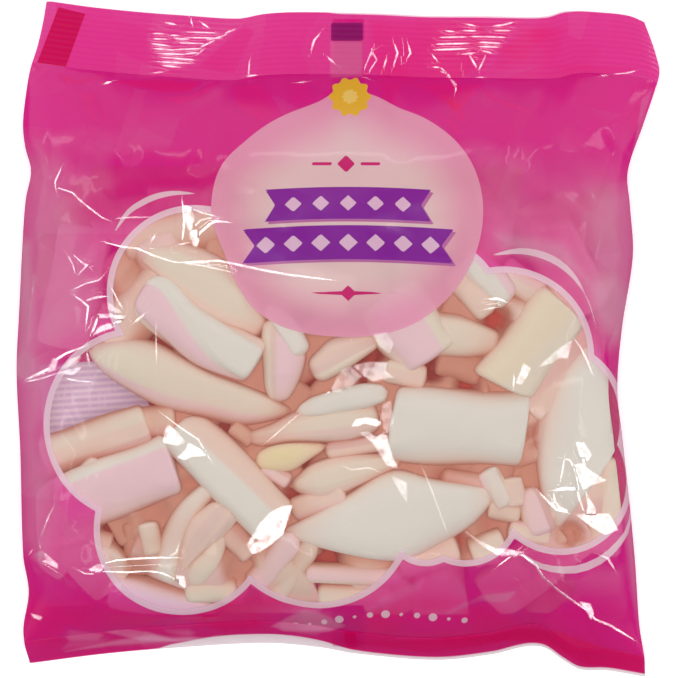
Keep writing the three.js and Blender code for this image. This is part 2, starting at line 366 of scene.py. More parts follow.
# Pockets between the sweets: middle and radius on the grid, and how much deeper the sweets below lie there.
# The deepest show red, from the painted shade.
POCKETS = [
    ((493, 320), 12, 15), ((430, 370), 9, 15), ((466, 386), 10, 12), ((536, 434), 9, 9), ((376, 352), 8, 9),
    ((294, 494), 9, 9), ((192, 482), 8, 6), ((155, 509), 14, 6), ((118, 524), 15, 7), ((140, 566), 12, 4),
    ((240, 570), 13, 6), ((258, 332), 9, 7), ((240, 440), 10, 4), ((333, 548), 9, 8), ((446, 478), 12, 5),
    ((530, 484), 14, 7), ((488, 522), 12, 6), ((459, 540), 9, 6), ((568, 532), 10, 9),
]
POCKET_SPREAD = 1.2


def rope(a, b, left, right, thick, depth, *strands, square=2.7, groove=0.0, twist=0, cut=(0, 0), bow=0.0):
    """A sweet from a to b: its half widths as functions of the share along it, how thick it is, and
    its crest's depth below the film near either end. A strand is (angle, colour) and runs on to the
    next: 0 is the left side, 90 the crest and 180 the right side, and a colour alone starts at -90.
    Square is how boxy its section is, and groove how deep its strands meet. Twist turns the section
    over the length, cut slants the ends, and bow bends it sideways."""
    strands = [(-90, strand) if isinstance(strand, str) else strand for strand in strands]
    plan = dict(a=a, b=b, left=left, right=right, cut=cut, bow=bow)
    return dict(plan, thick=thick, depth=depth, strands=strands, square=square, groove=groove, twist=twist)


def half_widths(spec, unit=GRID):
    """A function for half widths that are all alike, or given as (share, width) points."""
    if np.isscalar(spec):
        return lambda t: np.full_like(t, spec * unit)
    return through([(t, width * unit) for t, width in spec])


def sweet(a, b, left, right, *rest, **more):
    """A rope with its ends and half widths on the grid."""
    return rope(spot(*a), spot(*b), half_widths(left), half_widths(right), *rest, **more)


# The sweets that show.
SWEETS = [
    # The large ones on the right.
    sweet((390, 423), (523, 429), 38, 37, 25, (0, 0.5), (-60, "cream"), (10, "white"), (165, "cream"),
          cut=(0.12, 0.1), square=2.5),
    sweet((284, 529), (497, 489), [(0, 3), (0.3, 23), (0.546, 41), (0.724, 25), (1, 3)],
          [(0, 4), (0.08, 15), (0.3, 36), (0.5, 48), (0.62, 45), (0.85, 29), (1, 3)], 24, (0.5, 0.5),
          (-80, "pink"), (26, "cream"), (40, "white"), (200, "cream"), square=3.2),
    sweet((496, 384), (559, 302), 29, 33, 24, (0, 0), (-70, "peach"), (16, "yellow"), (96, "cream"),
          (190, "yellow"), twist=20, cut=(-0.2, 0.1)),
    sweet((585, 336), (552, 528), [(0, 12), (0.22, 30), (0.5, 46), (0.62, 41), (0.87, 18), (1, 3)],
          [(0, 12), (0.1, 17), (0.39, 37), (0.6, 34), (0.8, 22), (1, 3)], 24, (2, 0), "white",
          (150, "pink"), (200, "cream"), square=3),
    # The large ones on the left, and what lies behind them.
    sweet((66, 505), (176, 461), 31, 31, 23, (1, 0.5), (-50, "cream"), (10, "white"), (62, "pink"),
          (196, "cream"), cut=(0, 0.05), square=2.6),
    sweet((44, 456), (150, 421), 20, 22, 20, (4, 3), (-60, "tan"), (30, "cream"), (86, "peach"),
          (120, "shaded_pink"), square=2.3),
    sweet((92, 350), (292, 410),
          [(0, 6), (0.08, 17), (0.28, 27), (0.56, 15), (0.73, 12), (0.87, 9), (1, 3)],
          [(0, 5), (0.1, 18), (0.28, 30), (0.43, 35), (0.61, 31), (0.79, 27), (0.9, 18), (1, 4)], 22,
          (1, 2), (-60, "cream"), (118, "pink"), (215, "cream"), square=2.4),
    sweet((141, 298), (260, 359), [(0, 24), (0.14, 33), (0.42, 20), (0.7, 19), (1, 20)],
          [(0, 14), (0.1, 22), (0.35, 27), (0.66, 33), (1, 27)], 20, (0, 0), (-115, "peach"),
          (-50, "white"), (48, "pink"), (128, "cream"), (190, "pink"), twist=112, groove=0.1,
          cut=(0, 0.05)),
    sweet((146, 252), (264, 330), [(0, 12), (0.2, 30), (0.45, 38), (0.75, 28), (1, 12)],
          [(0, 12), (0.3, 18), (0.6, 25), (1, 13)], 22, (2.5, 3), (-60, "peach"), (56, "cream"),
          (110, "peach"), (150, "tan"), twist=-16, groove=0.06),
    sweet((126, 244), (230, 226), 26, 21, 20, (6, 7), "tan", (60, "peach")),
    sweet((116, 254), (146, 306), 20, 22, 18, (8, 9), "tan", (100, "peach")),
    # Ends and folds round the middle.
    sweet((268, 308), (303, 355), [(0, 8), (0.3, 12), (0.65, 15), (1, 11)],
          [(0, 5), (0.5, 7), (0.88, 9), (1, 6)], 14, (0.5, 0.5), "white", square=3),
    sweet((280, 320), (279, 401), [(0, 10), (0.3, 24), (0.47, 29), (0.8, 18), (1, 9)],
          [(0, 16), (0.3, 17), (0.8, 14), (1, 8)], 18, (2.5, 2), "pink", (96, "blush"), (110, "cream"),
          groove=0.04),
    sweet((312, 372), (376, 340), [(0, 12), (0.2, 17), (0.44, 21), (0.77, 14), (1, 8)],
          [(0, 10), (0.13, 14), (0.45, 13), (0.7, 10), (1, 7)], 18, (2, 1.5), "peach", (78, "blush"),
          (100, "cream"), groove=0.14),
    sweet((388, 296), (429, 359), 33, [(0, 35), (0.47, 38), (1, 30)], 22, (1, 0.5), "cream", (72, "pink"),
          (140, "white"), groove=0.05),
    sweet((248, 436), (378, 418), [(0, 5), (0.18, 10), (0.43, 22), (0.7, 24), (1, 16)],
          [(0, 6), (0.1, 11), (0.32, 11), (0.74, 18), (1, 12)], 20, (2.5, 2.5), "blush", (60, "cream"),
          (96, "blush"), (150, "peach"), groove=0.05),
    sweet((298, 410), (386, 391), [(0, 4), (0.23, 11), (0.73, 13), (1, 7)],
          [(0, 5), (0.26, 10), (0.7, 12), (1, 8)], 15, (0.3, 0.3), "white", square=3),
    sweet((258, 460), (326, 444), [(0, 8), (0.25, 12), (0.52, 11), (1, 3)],
          [(0, 7), (0.25, 14), (0.47, 16), (0.67, 11), (1, 3)], 15, (1.5, 2), "lemon"),
    sweet((264, 464), (290, 480), 9, 8, 13, (3, 3.5), "shaded_pink", (80, "pink")),
    sweet((292, 484), (399, 458), [(0, 5), (0.24, 17), (0.62, 17), (1, 7)],
          [(0, 4), (0.1, 12), (0.25, 20), (0.59, 15), (1, 7)], 18, (2.5, 2.5), "peach", (50, "cream"),
          (120, "blush"), groove=0.07),
    sweet((326, 450), (390, 440), 9, 8, 12, (4, 4), "shaded_pink", (90, "peach")),
    sweet((292, 508), (344, 488), 12, 13, 13, (6, 3.5), "peach", (110, "pink")),
    # The long bar, and the plaited one beside it.
    sweet((176, 428), (275, 522), [(0, 20), (0.14, 31), (0.6, 33), (1, 29)], [(0, 17), (0.14, 20), (1, 24)],
          22, (0, 0), "peach", (74, "white"), (200, "cream"), groove=0.03),
    sweet((212, 484), (166, 578), [(0, 10), (0.25, 11), (0.5, 12), (0.75, 12), (1, 11)],
          [(0, 8), (0.25, 13), (0.5, 14), (0.75, 14), (1, 12)], 18, (1.8, 1.4), "cream", (70, "white"),
          (120, "cream"), bow=-3.6),
    sweet((228, 504), (180, 572), [(0, 17), (0.33, 15), (0.6, 8), (0.9, 4), (1, 3)],
          [(0, 12), (0.18, 18), (0.37, 23), (0.63, 18), (0.9, 9), (1, 5)], 17, (1, 1.4), "peach",
          (40, "blush"), (66, "peach"), (84, "blush"), (110, "peach"), groove=0.05),
    sweet((226, 530), (192, 582), [(0, 4), (0.24, 10), (0.53, 14), (0.81, 11), (1, 6)],
          [(0, 3), (0.43, 8), (0.72, 14), (1, 8)], 15, (2.2, 1.6), "cream"),
    sweet((230, 526), (254, 552), 13, 14, 15, (6, 6), "shaded_pink", (90, "peach")),
    # The lower left.
    sweet((112, 586), (216, 610), [(0, 14), (0.3, 19), (0.8, 14), (1, 8)], 20, 19, (0.6, 0.6), "mauve",
          (150, "cream")),
    sweet((186, 586), (238, 586), 13, 15, 15, (4, 4), "cream"),
    sweet((136, 520), (140, 556), 12, 13, 14, (10, 10), "shaded_pink", (100, "peach")),
    sweet((150, 520), (157, 552), 11, 11, 14, (3.5, 4.5), "cream"),
    sweet((96, 538), (114, 542), 11, 11, 13, (5, 6), "cream"),
    sweet((100, 560), (150, 562), 13, 12, 14, (11, 11), "tan", (110, "shaded_pink")),
    # Below the middle.
    sweet((297, 530), (252, 584), [(0, 6), (0.2, 14), (1, 13)], [(0, 6), (0.2, 13), (1, 12)], 15, (2.5, 3),
          "pink"),
    sweet((315, 536), (272, 596), [(0, 6), (0.2, 12), (1, 14)], [(0, 6), (0.2, 11), (1, 13)], 15, (3.5, 4),
          "cream"),
    sweet((306, 570), (402, 574), 11, 10, 13, (3, 3.5), "peach", (60, "pink"), (120, "peach")),
    sweet((318, 592), (392, 590), 11, 12, 13, (3, 3.5), "cream"),
    sweet((398, 562), (456, 543), 17, 17, 16, (5, 5), "tan", (60, "peach"), (130, "tan")),
    sweet((469, 551), (502, 539), 16, 16, 15, (5, 4), "cream"),
    # The lower right.
    sweet((484, 468), (504, 504), 12, 13, 14, (2.5, 3), "cream", (20, "white"), (100, "pink"),
          (150, "cream"), twist=50, groove=0.1),
    sweet((508, 476), (512, 504), 12, 12, 13, (3, 3.5), "peach", (110, "cream")),
    sweet((486, 506), (518, 512), 10, 10, 12, (5, 5), "cream"),
    sweet((506, 528), (548, 536), 13, 9, 13, (4, 4), "pink", (70, "cream")),
    sweet((524, 486), (540, 532), [(0, 9), (0.3, 15), (1, 17)], [(0, 9), (0.3, 14), (1, 17)], 15,
          (3.5, 3.5), "shaded_pink", (70, "pink"), (130, "cream")),
    sweet((543, 420), (549, 520), 8, 8, 14, (4, 3), "pink", (60, "peach"), (120, "pink")),
    sweet((440, 474), (500, 484), 9, 9, 14, (6.5, 4), "shaded_pink", (80, "pink")),
    sweet((536, 548), (560, 530), 10, 12, 15, (6, 6), "tan", (100, "peach")),
    sweet((612, 458), (594, 552), 24, [(0, 24), (0.5, 24), (0.8, 28), (1, 24)], 20, (4, 5), "cream",
          (100, "tan")),
    # Under the window's upper right edge.
    sweet((450, 272), (489, 312), 14, 16, 15, (4, 3), "peach", (120, "cream")),
    sweet((462, 262), (506, 302), [(0, 18), (0.5, 21), (1, 15)], [(0, 15), (0.5, 15), (1, 12)], 17, (2, 1),
          "pink", (50, "white"), (110, "peach"), twist=30, groove=0.06),
    sweet((498, 272), (538, 298), 18, 16, 15, (5, 6), "pink", (90, "white"), (130, "tan")),
    sweet((426, 330), (497, 341), [(0, 20), (0.4, 20), (1, 9)], [(0, 26), (0.6, 22), (1, 14)], 19, (3.5, 4),
          "tan", (50, "cream"), (150, "tan")),
    sweet((384, 370), (424, 378), 13, 12, 14, (3, 4), "cream", (80, "peach")),
    # Deep ones, which show between the others.
    sweet((436, 360), (480, 372), 16, 14, 16, (9, 9), "shaded_pink", groove=0.1),
    sweet((556, 368), (534, 416), 16, 16, 18, (7, 6), "pink", (80, "shaded_pink")),
    sweet((528, 448), (526, 494), 16, 17, 18, (9, 10), "tan"),
    sweet((138, 422), (178, 418), 15, 16, 15, (6, 6), "tan", (100, "shaded_pink")),
    sweet((234, 424), (254, 440), 9, 9, 13, (6, 6.5), "tan"),
]

# The sweets just under the print, which show faintly through its ink.
VEILED = [
    sweet((52, 262), (100, 326), 28, 28, 20, (13, 13), "white"),
    sweet((66, 196), (118, 236), 26, 26, 20, (10, 10), "pink"),
    sweet((150, 200), (226, 186), 24, 24, 22, (11, 11), "cream"),
    sweet((270, 190), (370, 215), 28, 28, 23, (7, 7), "white"),
    sweet((420, 200), (500, 232), 26, 26, 22, (8, 8), "pink"),
    sweet((546, 208), (596, 244), 24, 24, 20, (12, 12), "white"),
    sweet((246, 262), (352, 300), 28, 28, 22, (5, 5), "cream"),
    sweet((602, 272), (604, 336), 18, 18, 17, (11, 11), "cream"),
]

# The ends are rounded over this much, or this share of a short sweet.
END_ROUNDING, END_SHARE = 2.4, 0.12
# Rings of the rounded ends, and the scales of those on the flat caps.
END_RINGS, CAP_SCALES, CAP_BULGE = 5, [0.03, 0.4, 0.75], 0.7
GROOVE_WIDTH = 0.16
# A sweet is thinner where half its width is below this share of its thickness.
THIN_BELOW, THINNING = 0.42, 0.7
MOST_INSET = 0.6


def rings(length, edge, along):
    """Each ring's place along a sweet, its inset on the rounded ends, and its scale on the caps."""
    turn = np.linspace(0, np.pi / 2, END_RINGS)
    bend, inset = edge * (1 - np.cos(turn)), edge * (1 - np.sin(turn))
    middle = np.linspace(edge, length - edge, along)[1:-1]
    cap = np.ones(len(CAP_SCALES))
    stations = np.r_[0 * cap, bend, middle, length - bend[::-1], length * cap]
    insets = np.r_[edge * cap, inset, 0 * middle, inset[::-1], edge * cap]
    scales = np.r_[CAP_SCALES, np.ones(len(middle) + 2 * END_RINGS), CAP_SCALES[::-1]]
    return stations[:, None], insets[:, None], scales[:, None]


def rounded(wave, squareness):
    return np.sign(wave) * np.abs(wave) ** (2 / squareness)


def uneven(turned, share, seed):
    """Slight swells round and along a sweet."""
    first, second, third = np.random.default_rng(seed).uniform(0, 2 * np.pi, 3)
    swell = 1 + 0.022 * np.sin(2 * turned + first + 5 * share)
    swell = swell + 0.018 * np.sin(3 * turned + second - 7 * share)
    return swell + 0.015 * np.sin(9 * share + third)


def grooves(angles, phi, depth):
    """The share of a sweet's radius that is left where its strands meet."""
    away = np.abs((phi - angles[:, None] + np.pi) % (2 * np.pi) - np.pi)
    return 1 - depth * np.exp(-((away / GROOVE_WIDTH) ** 2)).sum(0)


def strand_tints(strands, angles, phi):
    at = np.searchsorted(angles, (phi - angles[0]) % (2 * np.pi) + angles[0], side="right") - 1
    return np.array([TINT[strands[k][1]] for k in at])


def tube_faces(count, around):
    """Quads round a tube of rings, and the two caps that shut it."""
    r, c = np.meshgrid(np.arange(count - 1), np.arange(around), indexing="ij")
    p, q = (r * around + c).ravel(), (r * around + (c + 1) % around).ravel()
    ring = np.arange(around)
    return np.stack([p, q, q + around, p + around], 1), np.array([ring[::-1], (count - 1) * around + ring])


def sweet_mesh(s, seed, heights, around, along):
    """Points, quads, caps and tints of one sweet, with the heights of its axis at either end."""
    length = float(np.hypot(*(s["b"] - s["a"])))
    forward = (s["b"] - s["a"]) / length
    edge = min(END_ROUNDING, END_SHARE * length)
    # Each array below has a row for each ring, a column for each angle round it, or both.
    stations, insets, scales = rings(length, edge, along)
    share = stations / length
    phi = np.linspace(0, 2 * np.pi, around, endpoint=False)
    turned = phi + math.radians(s["twist"]) * share
    angles = np.radians([angle for angle, _ in s["strands"]])
    left, right = s["left"](share), s["right"](share)
    narrow = (left + right) / 2
    rise = s["thick"] / 2 * np.minimum(1.0, (narrow / (THIN_BELOW * s["thick"])) ** THINNING)
    side = np.where(np.cos(turned) >= 0, left, right)
    reach = scales * (1 - np.minimum(insets / np.maximum(narrow, edge), MOST_INSET))
    size = grooves(angles, phi, s["groove"]) * uneven(turned, share, seed) * reach
    lateral = rounded(np.cos(turned), s["square"]) * side * size
    z = lerp(*heights, share) + rounded(np.sin(turned), s["square"]) * rise * size
    ahead = stations + lateral * lerp(*s["cut"], share) + CAP_BULGE * np.sign(share - 0.5) * (1 - scales)
    beside = lateral + s["bow"] * np.sin(np.pi * share)
    x = s["a"][0] + ahead * forward[0] - beside * forward[1]
    y = s["a"][1] + ahead * forward[1] + beside * forward[0]
    points = np.stack([x, y, z], 2).reshape(-1, 3)
    tints = np.tile(strand_tints(s["strands"], angles, phi), (len(stations), 1))
    return points, *tube_faces(len(stations), around), tints


# The shares of a sweet's length where its crest has the depths that are given.
DEPTH_SHARES = (0.14, 0.86)
LEAST_ROOM_BELOW = 1.2


def heights_near_film(s):
    """Heights of the axis' ends, so that the crest lies its depth below the film."""
    heights = []
    for share, depth in zip(DEPTH_SHARES, s["depth"]):
        x, y = lerp(s["a"], s["b"], share)
        film = float(Place(np.array([x]), np.array([y])).front()[0]) + LIFT
        heights.append(film - depth - s["thick"] / 2)
    slope = (heights[1] - heights[0]) / (DEPTH_SHARES[1] - DEPTH_SHARES[0])
    ends = heights[0] - DEPTH_SHARES[0] * slope, heights[1] + DEPTH_SHARES[0] * slope
    return [max(height, s["thick"] / 2 + LEAST_ROOM_BELOW) for height in ends]


# The sweets fill the bag between these, and the film beyond them is empty.
CONTENTS_LOW, CONTENTS_HIGH = -104, 66
# Towards the top they lie lower: over this run, by this much.
TOP_RUN, TOP_DROP = 26, 24
SIDE_ROOM, BACK_ROOM, FILL_ROOM = 3.2, 2.4, 3.0


def inside_bag(points, lift, room):
    """Moves points that would stand out of the film back inside it."""
    x, y, z = points.T
    x = np.clip(x, left_edge(y) + SIDE_ROOM + room, right_edge(y) - SIDE_ROOM - room)
    y = np.clip(y, CONTENTS_LOW, CONTENTS_HIGH)
    place = Place(x, y)
    drop = TOP_DROP * smooth((y - CONTENTS_HIGH + TOP_RUN) / TOP_RUN)
    highest = place.front() + lift * place.shown - room
    lowest = np.minimum(place.back() + BACK_ROOM, highest)
    return np.c_[x, y, np.clip(z, lowest, np.maximum(highest - drop, lowest))]


def sunk_in_pockets(points):
    """Pushes points down where a deep pocket shows."""
    x, y, z = points.T
    for middle, radius, deeper in POCKETS:
        cx, cy = spot(*middle)
        away = ((x - cx) ** 2 + (y - cy) ** 2) / (POCKET_SPREAD * radius * GRID) ** 2
        z = z - deeper * np.exp(-(away**2))
    return inside_bag(np.c_[x, y, z], LIFT, FILL_ROOM)


# Sweets' tints are dimmed by this share, to leave room for their painted glow.
SHADE = 0.88
# The painted glow, emission that stands in for light scattered through and between the sweets: its strength
# at the film, what it gains below, and where that starts and over how much.
PAINTED_GLOW, DEEP_GAIN, GAIN_FROM, GAIN_RUN = 0.13, 0.05, 2, 6


def painted_shade_and_glow(points, tints):
    """Tints with the painted shade that deepens below the film, and the strength of the painted glow."""
    x, y, z = points.T
    place = Place(x, y)
    below = place.front() + LIFT * place.shown - z
    for start, full, share, colour in DEPTH_SHADE_TINTS:
        tints = lerp(tints, linear(colour), share * smooth((below - start) / (full - start))[:, None])
    return SHADE * tints, PAINTED_GLOW + DEEP_GAIN * smooth((below - GAIN_FROM) / GAIN_RUN)


def join_sweets(name, sweets):
    """One piece from the meshes of many sweets."""
    starts = np.cumsum([0] + [len(points) for points, *_ in sweets])
    quads, caps = (np.concatenate([s[k] + start for s, start in zip(sweets, starts)]) for k in (1, 2))
    points, tints = (np.concatenate([s[k] for s in sweets]) for k in (0, 3))
    tints, painted_glow = painted_shade_and_glow(points, tints)
    return add_mesh(name, points, [quads, caps], tints, dict(painted_glow=painted_glow))


# The lower layers are ropes of one size, laid out in columns and then pushed apart.
FILL_COUNT, FILL_COLUMNS, FILL_ROUNDS = 34, 6, 60
FILL_HALF_WIDTH, FILL_HALF_LENGTH, FILL_THICK = 10.5, 23, (19, 22)
FILL_X, FILL_Y, FILL_SCATTER = (-96, 88), (-88, 58), 5
FILL_LEAST, FILL_MOST = (-99, -84), (88, 56)
FILL_GAP, FILL_BALLS, FILL_PUSH = 22, 15.0, 0.06
FILL_LOOKS = [
    ["white"],
    ["pink"],
    ["peach", (60, "cream"), (130, "pink")],
    ["cream"],
    ["pink", (80, "white")],
    ["shaded_pink", (100, "peach")],
]
# The striped panel on the back shows here, so no deep sweet lies over it.
PANEL_CENTRE, PANEL_ROOM = spot(96, 402), 44


def push_apart(centres, ahead):
    """Moves ropes a little away from their neighbours. Each stands for three balls in a row."""
    ends = FILL_BALLS * ahead
    balls = np.stack([centres - ends, centres, centres + ends], 1)
    for i in range(len(centres)):
        gap = balls[i][:, None, None, :] - balls[None, :, :, :]
        far = np.hypot(gap[..., 0], gap[..., 1])
        far[:, i, :] = FILL_GAP
        far = far[..., None]
        push = gap / np.maximum(far, 0.1) * np.maximum(FILL_GAP - far, 0)
        centres[i] += FILL_PUSH * push.sum((0, 1, 2))


def fill_sweets(seed):
    """A lower layer, spread over the bag."""
    rng = np.random.default_rng(seed)
    i, j = np.arange(FILL_COUNT) % FILL_COLUMNS, np.arange(FILL_COUNT) // FILL_COLUMNS
    x = lerp(*FILL_X, (i + 0.5 * (j % 2) + 0.25) / (FILL_COLUMNS - 0.25))
    y = lerp(*FILL_Y, (j + 0.5) / math.ceil(FILL_COUNT / FILL_COLUMNS))
    centres = np.c_[x, y] + rng.uniform(-FILL_SCATTER, FILL_SCATTER, (FILL_COUNT, 2))
    angles = rng.uniform(0, np.pi, FILL_COUNT)
    ahead = np.c_[np.cos(angles), np.sin(angles)]
    for _ in range(FILL_ROUNDS):
        push_apart(centres, ahead)
        away = centres - PANEL_CENTRE
        far = np.hypot(*away.T)[:, None]
        centres = np.where(far < PANEL_ROOM, PANEL_CENTRE + away * PANEL_ROOM / np.maximum(far, 1), centres)
        centres = np.clip(centres, FILL_LEAST, FILL_MOST)
    width = half_widths(FILL_HALF_WIDTH, 1)
    sweets = []
    for k, (centre, way) in enumerate(zip(centres, ahead)):
        thick = rng.uniform(*FILL_THICK)
        ends = centre - FILL_HALF_LENGTH * way, centre + FILL_HALF_LENGTH * way
        look = FILL_LOOKS[k % len(FILL_LOOKS)]
        sweets.append(rope(*ends, width, width, thick, None, *look, groove=0.06, twist=rng.uniform(-40, 40)))
    return sweets


def build_layer(sweets, seed, around, along, lift=0.0, room=FILL_ROOM, level=None, sink=None):
    """Meshes of a layer of sweets, lying at a level, or near the film where none is given."""
    built = []
    for k, s in enumerate(sweets):
        heights = heights_near_film(s) if level is None else [s["thick"] / 2 + level] * 2
        points, quads, caps, tints = sweet_mesh(s, seed + k, heights, around, along)
        points = inside_bag(points, lift, room)
        built.append((sink(points) if sink else points, quads, caps, tints))
    return built


shown_layer = build_layer(SWEETS, 10, 40, 28, LIFT, 0.8)
veiled_layer = build_layer(VEILED, 70, 32, 20, LIFT, 0.8)
low_layer = build_layer(fill_sweets(5), 90, 28, 18, level=1.4)
middle_layer = build_layer(fill_sweets(8), 190, 32, 20, level=22, sink=sunk_in_pockets)

sweets_top = join_sweets("marshmallows_showing", shown_layer)
sweets_veiled = join_sweets("marshmallows_under_print", veiled_layer)
sweets_middle = join_sweets("marshmallows_between", middle_layer)
sweets_low = join_sweets("marshmallows_below", low_layer)

# ---------------------------------------------------------------- how the film lies on the sweets

# A field over the bag: its cells' size, its corner, and its columns and rows.
CELL = 0.8
X0, Y0, NX, NY = -126.0, -130.0, 316, 326
NOTHING = -50.0
CLEARANCE, HIGHEST_RISE = 0.45, 6
STRETCH_ROUNDS, STRETCH = 320, 0.9988


def sweets_envelope(sweets):
    """The highest sweet over each cell."""
    env = np.full((NY, NX), NOTHING)
    steps = [(di, dj) for di in (0, 1) for dj in (0, 1)]
    for points, *_ in sweets:
        i, j = (np.floor((v - start) / CELL).astype(int) for v, start in zip(points.T, (X0, Y0)))
        for di, dj in steps:
            np.maximum.at(env, (np.clip(j + dj, 0, NY - 1), np.clip(i + di, 0, NX - 1)), points[:, 2])
    wide = env.copy()
    around = [(di, dj) for di in (0, 1, 2) for dj in (0, 1, 2)]
    wide[1:-1, 1:-1] = np.max([env[dj : NY - 2 + dj, di : NX - 2 + di] for di, dj in around], axis=0)
    return wide


def stretched_film(env):
    """How far the film stands above the plain pillow: it rests on the sweets and spans between them."""
    gx, gy = np.meshgrid(X0 + CELL * np.arange(NX), Y0 + CELL * np.arange(NY))
    place = Place(gx.ravel(), gy.ravel())
    above = env + CLEARANCE - place.front().reshape(NY, NX)
    floor = np.minimum(np.where(place.inside.reshape(NY, NX), above, NOTHING), HIGHEST_RISE)
    rise = np.maximum(floor, 0)
    for _ in range(STRETCH_ROUNDS):
        mean = (rise[:-2, 1:-1] + rise[2:, 1:-1] + rise[1:-1, :-2] + rise[1:-1, 2:]) / 4
        rise[1:-1, 1:-1] = np.maximum(floor[1:-1, 1:-1], mean * STRETCH)
    return rise


def sample(field, x, y):
    """A field's value at each place, blended between its cells."""
    i, j = np.clip((x - X0) / CELL, 0, NX - 1.001), np.clip((y - Y0) / CELL, 0, NY - 1.001)
    i0, j0 = i.astype(int), j.astype(int)
    low_row = lerp(field[j0, i0], field[j0, i0 + 1], i - i0)
    high_row = lerp(field[j0 + 1, i0], field[j0 + 1, i0 + 1], i - i0)
    return lerp(low_row, high_row, j - j0)


env_field = sweets_envelope(shown_layer + veiled_layer)
rise_field = stretched_film(env_field)

# Short glints along the ribs of the top seal: two ends on the grid, and the glint's width.
RIB_GLINTS = [
    ((152, 31), (163, 31.5), 0.72), ((169, 33), (178, 33.5), 0.56), ((186, 30), (214, 31), 0.56),
    ((152, 36.5), (166, 37), 0.8), ((174, 36.5), (188, 37.5), 0.64), ((185, 35.5), (219, 36.5), 0.72),
    ((151, 41.5), (168, 44), 0.88), ((178, 41), (203, 42), 0.72), ((153, 46.5), (173, 48.4), 0.88),
    ((173, 48), (201, 47), 0.72), ((156, 51.5), (184, 53), 0.88), ((184, 52.5), (197, 51), 0.72),
    ((160, 55.5), (193, 58.5), 0.88), ((156, 60), (190, 62), 0.88), ((162, 64), (180, 66), 0.8),
    ((153, 71.5), (162, 70.5), 0.72), ((225, 31), (234, 27.5), 0.72), ((208, 38.5), (225, 33), 0.72),
    ((200, 45.5), (214, 38.5), 0.72), ((196, 53), (203, 48), 0.64), ((164, 20), (174, 22), 0.96),
    ((190, 18), (191, 22), 0.72), ((201, 21), (207, 25), 0.96), ((447, 28.6), (455, 29.7), 0.8),
    ((467, 22), (476, 24), 0.8), ((464, 28.6), (477, 29), 0.8), ((494, 24.2), (504, 23), 0.96),
    ((504, 23), (514, 20), 0.88), ((496, 28.6), (511, 28.6), 0.88), ((441, 35.2), (467, 35.2), 0.96),
    ((472, 34.8), (506, 35.6), 0.88), ((437, 42.2), (470, 41.8), 0.96), ((480, 40.7), (502, 41.8), 0.88),
    ((434, 48), (468, 47.3), 1.04), ((480, 45.1), (499, 45.8), 0.8), ((463, 52.8), (475, 51.7), 0.88),
    ((483, 49.5), (492, 51.7), 0.8), ((433.5, 54), (437, 58), 0.72), ((434, 65.6), (439.5, 66), 0.8),
    ((470, 54), (479, 69.5), 0.96), ((485.5, 56), (479, 69.5), 0.8), ((476, 77), (483.5, 76.6), 0.64),
    ((442, 70.4), (448, 72.6), 0.72), ((449, 77), (456.6, 84), 0.72), ((456.6, 84), (455.5, 91), 0.64),
]
RIB_BRIGHTNESS = 0.9

